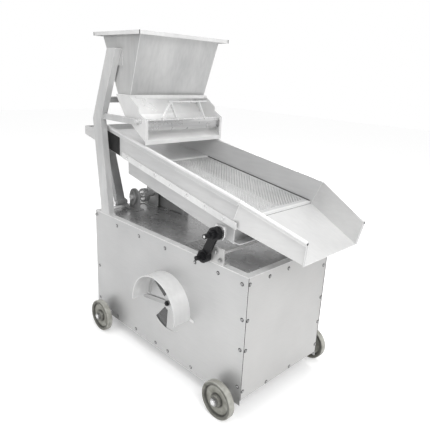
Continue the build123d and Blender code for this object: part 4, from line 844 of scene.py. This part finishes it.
def inlet_gauze(work):
    # Crossed wires behind the shutter blades, in a dark steel that paints the shade of the hood over them
    count = int(GAUZE_REACH / GAUZE_PITCH)
    for step in range(-count, count + 1):
        offset = step * GAUZE_PITCH
        half = math.sqrt(GAUZE_REACH ** 2 - offset ** 2)
        x, z = INLET_X + offset, INLET_Z + offset
        rod(work, [(x, GAUZE_UPRIGHT_Y, INLET_Z - half), (x, GAUZE_UPRIGHT_Y, INLET_Z + half)], GAUZE_WIRE, 4)
        rod(work, [(INLET_X - half, GAUZE_LEVEL_Y, z), (INLET_X + half, GAUZE_LEVEL_Y, z)], GAUZE_WIRE, 4)


# Air outlet in the deck, as its low and high ends along x and y
OUTLET_X = (0.124, 0.278)
OUTLET_Y = (-0.244, -0.110)
OUTLET_LEVEL = 0.582
SLATS = 12
SLAT_INSET = 0.005
RAIL_INSET = 0.004


def outlet_grille(work):
    # Slats over the air outlet, level with the deck
    (x0, x1), (y0, y1) = OUTLET_X, OUTLET_Y
    for y in (y0 + RAIL_INSET, y1 - RAIL_INSET):
        strip(work, (x0, y, OUTLET_LEVEL), (x1, y, OUTLET_LEVEL), (0, 1, 0), (0, 0, 1), 0.009, 0.0015)
    for step in range(SLATS + 1):
        x = x0 + SLAT_INSET + (x1 - x0 - 2 * SLAT_INSET) * step / SLATS
        strip(work, (x, y0, OUTLET_LEVEL), (x, y1, OUTLET_LEVEL), (1, 0, 0), (0, 0, 1), 0.0092, 0.0014)


# Painted shade: dark ribs and a backing strip in black rubber on the tray wall beside each post, standing in
# for the shadow there
RIBS = 9
FIRST_RIB = -0.452
RIB_PITCH = 0.0115
RIB_WIDTH = 0.0100
RIB_RISE = 0.0035
RIB_TOP_DROP = 0.024
RIB_FOOT_DROP = 0.108
SHADE_RIB_BACKING = (-0.456, -0.346)
SHADE_RIB_DROP = 0.066


def post_shade_ribs(work):
    for side in (-1, 1):
        for step in range(RIBS):
            x0 = FIRST_RIB + RIB_PITCH * step
            x1 = x0 + RIB_WIDTH
            ring = []
            for x, drop in ((x0, RIB_TOP_DROP), (x1, RIB_TOP_DROP), (x1, RIB_FOOT_DROP), (x0, RIB_FOOT_DROP)):
                ring.append((x, wall_half(x), rim_height(x) - drop))
            loft(work, [[(x, side * (y + out), z) for x, y, z in ring] for out in (0.0, RIB_RISE)])
        start, end = ((x, side * wall_half(x), rim_height(x) - SHADE_RIB_DROP) for x in SHADE_RIB_BACKING)
        strip(work, start, end, (0, 0, 1), (0, side, 0), 0.088, 0.0022)


# Rear leg: its lower and upper pins, and the folded flanges on its outer face
LEG_LOW = Vector((-0.462, 0, 0.612))
LEG_HIGH = Vector((-0.555, 0, 0.880))
LEG_FACE = 0.1532
FLANGE_OFFSET = 0.0165
FLANGE_TRIM = 0.034
WEB_TRIM = 0.040


def leg_flanges(side):
    along = (LEG_HIGH - LEG_LOW).normalized()
    across = Vector((along.z, 0, -along.x))

    def bar(work, offset, trim, width, height):
        start, end = LEG_LOW + along * trim + across * offset, LEG_HIGH - along * trim + across * offset
        start.y = end.y = side * LEG_FACE
        strip(work, start, end, across, (0, side, 0), width, height)

    def build(work):
        for offset in (-FLANGE_OFFSET, FLANGE_OFFSET):
            bar(work, offset, FLANGE_TRIM, 0.0110, 0.0030)
        bar(work, 0, WEB_TRIM, 0.0300, 0.0012)
    return build


BAR_END_X = (-0.2625, -0.1660)
BAR_END_FACE = 0.2223
BAR_END_HEIGHT = 1.044


def bar_ends(work):
    # The carrier bars run on along the outside of the cheeks to the gate shaft.
    for side in (-1, 1):
        start, end = ((x, side * BAR_END_FACE, BAR_END_HEIGHT) for x in BAR_END_X)
        strip(work, start, end, (0, 0, 1), (0, side, 0), 0.0258, 0.0136, 0.12)


# Upper rocker bolts: place as (x, z), and how far out their tips stand
ROCKER_BOLT = (0.361, 0.708)
BOLT_TIP_FACE = 0.3218


def bolt_tips(work):
    x, z = ROCKER_BOLT
    for side in (-1, 1):
        dome_ring(work, (x, side * BOLT_TIP_FACE, z), (0, side, 0), 0.0052, 0.0024, 16)


# Sheet cover round the drive belt: axle centre, outer radius, front end, foot and side walls
GUARD_CENTRE = (-0.404, 0.646)
GUARD_RADIUS = 0.082
GUARD_FRONT = -0.185
GUARD_FOOT = 0.5822
GUARD_SIDES = (0.0505, 0.0860)
GUARD_BEND = 0.0040
GUARD_CORNER = 0.012
GUARD_ARC_STEPS = 18
GUARD_TABS = (-0.448, -0.300)
GUARD_TAB_HALF = 0.014


def guard_outline(inset):
    cx, cz = GUARD_CENTRE
    reach = GUARD_RADIUS - inset
    front = GUARD_FRONT - inset
    top = cz + reach
    points = [(front, GUARD_FOOT + inset), (front, top - GUARD_CORNER), (front - GUARD_CORNER, top)]
    for step in range(GUARD_ARC_STEPS + 1):
        turn = math.radians(90 + 90 * step / GUARD_ARC_STEPS)
        points.append((cx + reach * math.cos(turn), cz + reach * math.sin(turn)))
    points.append((cx - reach, GUARD_FOOT + inset))
    return points


def belt_guard(work):
    near, far = GUARD_SIDES
    levels = ((near, GUARD_BEND), (near + GUARD_BEND, 0.0), (far, 0.0))
    loft(work, [[(x, y, z) for x, z in guard_outline(inset)] for y, inset in levels])
    for x in GUARD_TABS:
        start, end = ((x + half, near - 0.001, GUARD_FOOT) for half in (-GUARD_TAB_HALF, GUARD_TAB_HALF))
        strip(work, start, end, (0, 1, 0), (0, 0, 1), 0.018, 0.0024)


# Bolts: two heights at each rear corner, one on each side, and (x, z) on the rocker bases and posts
CORNER_BOLT_Y = 0.236
CORNER_BOLT_HEIGHTS = (0.572, 0.552)
SIDE_BOLT = (-0.478, 0.566)
BASE_BOLTS = ((0.356, 0.634), (0.378, 0.606), (0.302, 0.598))
POST_BOLT_FACE = 0.220
POST_BOLTS = ((-0.405, 0.700), (-0.410, 0.735))
CHEEK_STUD = (-0.178, 0.222, 1.092)


def small_bolts(work):
    # Corner bolts of the frame and the bolts of the rocker bases
    for side in (-1, 1):
        for z in CORNER_BOLT_HEIGHTS:
            hex_head(work, (REAR_FACE, side * CORNER_BOLT_Y, z), (-1, 0, 0), 0.0065, 0.006, 0.009)
        x, z = SIDE_BOLT
        hex_head(work, (x, side * HALF_WIDTH, z), (0, side, 0), 0.0065, 0.006, 0.009)
        for x, z in BASE_BOLTS:
            hex_head(work, (x, side * HALF_WIDTH, z), (0, side, 0), 0.0075, 0.008, 0.0105)


def post_bolts(work):
    # Bolts inside the posts, and the stud of the far cheek
    for side in (-1, 1):
        for x, z in POST_BOLTS:
            hex_head(work, (x, side * POST_BOLT_FACE, z), (0, -side, 0), 0.0070, 0.007, 0.0090)
    hex_head(work, CHEEK_STUD, (0, 1, 0), 0.0055, 0.006, 0.0070)


# Forged lug round each upper rocker bolt: outline about the bolt, and (rise, scale) of its levels
LUG_FACE = 0.2405
LUG_OUTLINE = ((-0.024, 0.026), (0.026, 0.026), (0.026, -0.010), (0.016, -0.026), (-0.014, -0.026),
               (-0.024, -0.012))
LUG_LEVELS = ((0.0, 1.0), (0.0045, 1.0), (0.0060, 0.94))
LUG_BOLTS = ((0.345, 0.727), (0.379, 0.727))
LUG_BOLT_RISE = 0.0055


def bolt_brackets(work):
    bolt_x, bolt_z = ROCKER_BOLT
    for side in (-1, 1):
        sections = []
        for rise, scale in LUG_LEVELS:
            y = side * (LUG_FACE + rise)
            sections.append([(bolt_x + x * scale, y, bolt_z + z * scale) for x, z in LUG_OUTLINE])
        loft(work, sections)
        for x, z in LUG_BOLTS:
            hex_head(work, (x, side * (LUG_FACE + LUG_BOLT_RISE), z), (0, side, 0), 0.0050, 0.0035, 0.0065)


aim_camera()
light_scene()
make_floor()
finish_nodes()
add_panel_screws()
add_strip_bolts()
add_screen()
new_piece("rim_beads", rim_beads, "rim", "tray")
new_piece("lip_returns", lip_returns, "tray", "tray", smooth=False)
new_piece("bead_end_shades", bead_end_shades, "seam", "tray")
new_piece("screen_seals", screen_seals, "seam", "tray", smooth=False)
new_piece("step_closure", step_closure, "edge", "tray", smooth=False)
new_piece("step_shade_line", step_shade_line, "seam", "tray", smooth=False)
new_piece("screen_start", screen_start, "edge", "tray")
new_piece("post_shade_ribs", post_shade_ribs, "belt", "tray", smooth=False)
new_piece("leg_flanges_near", leg_flanges(-1), "leg", "rear_leg_near")
new_piece("leg_flanges_far", leg_flanges(1), "leg", "rear_leg_far")
new_piece("bar_ends", bar_ends, "post", "cabinet")
new_piece("bolt_tips", bolt_tips, "post", "tray")
new_piece("belt_guard", belt_guard, "dull", "cabinet")
new_piece("corner_seams", corner_seams, "seam", "cabinet")
new_piece("panel_edge_highlights", panel_edge_highlights, "rim", "cabinet")
new_piece("hopper_welds", hopper_welds, "edge", "cabinet")
new_piece("rim_notches", rim_notches, "seam", "cabinet")
new_piece("throat_band", throat_band, "rim", "cabinet")
new_piece("hood_edge", hood_edge, "edge", "cabinet")
new_piece("inlet_gauze", inlet_gauze, "shade", "cabinet")
new_piece("outlet_grille", outlet_grille, "deck", "cabinet", smooth=False)
new_piece("small_bolts", small_bolts, "bolt", "cabinet")
new_piece("post_bolts", post_bolts, "seam", "cabinet")
new_piece("bolt_brackets", bolt_brackets, "bright", "tray", smooth=False)
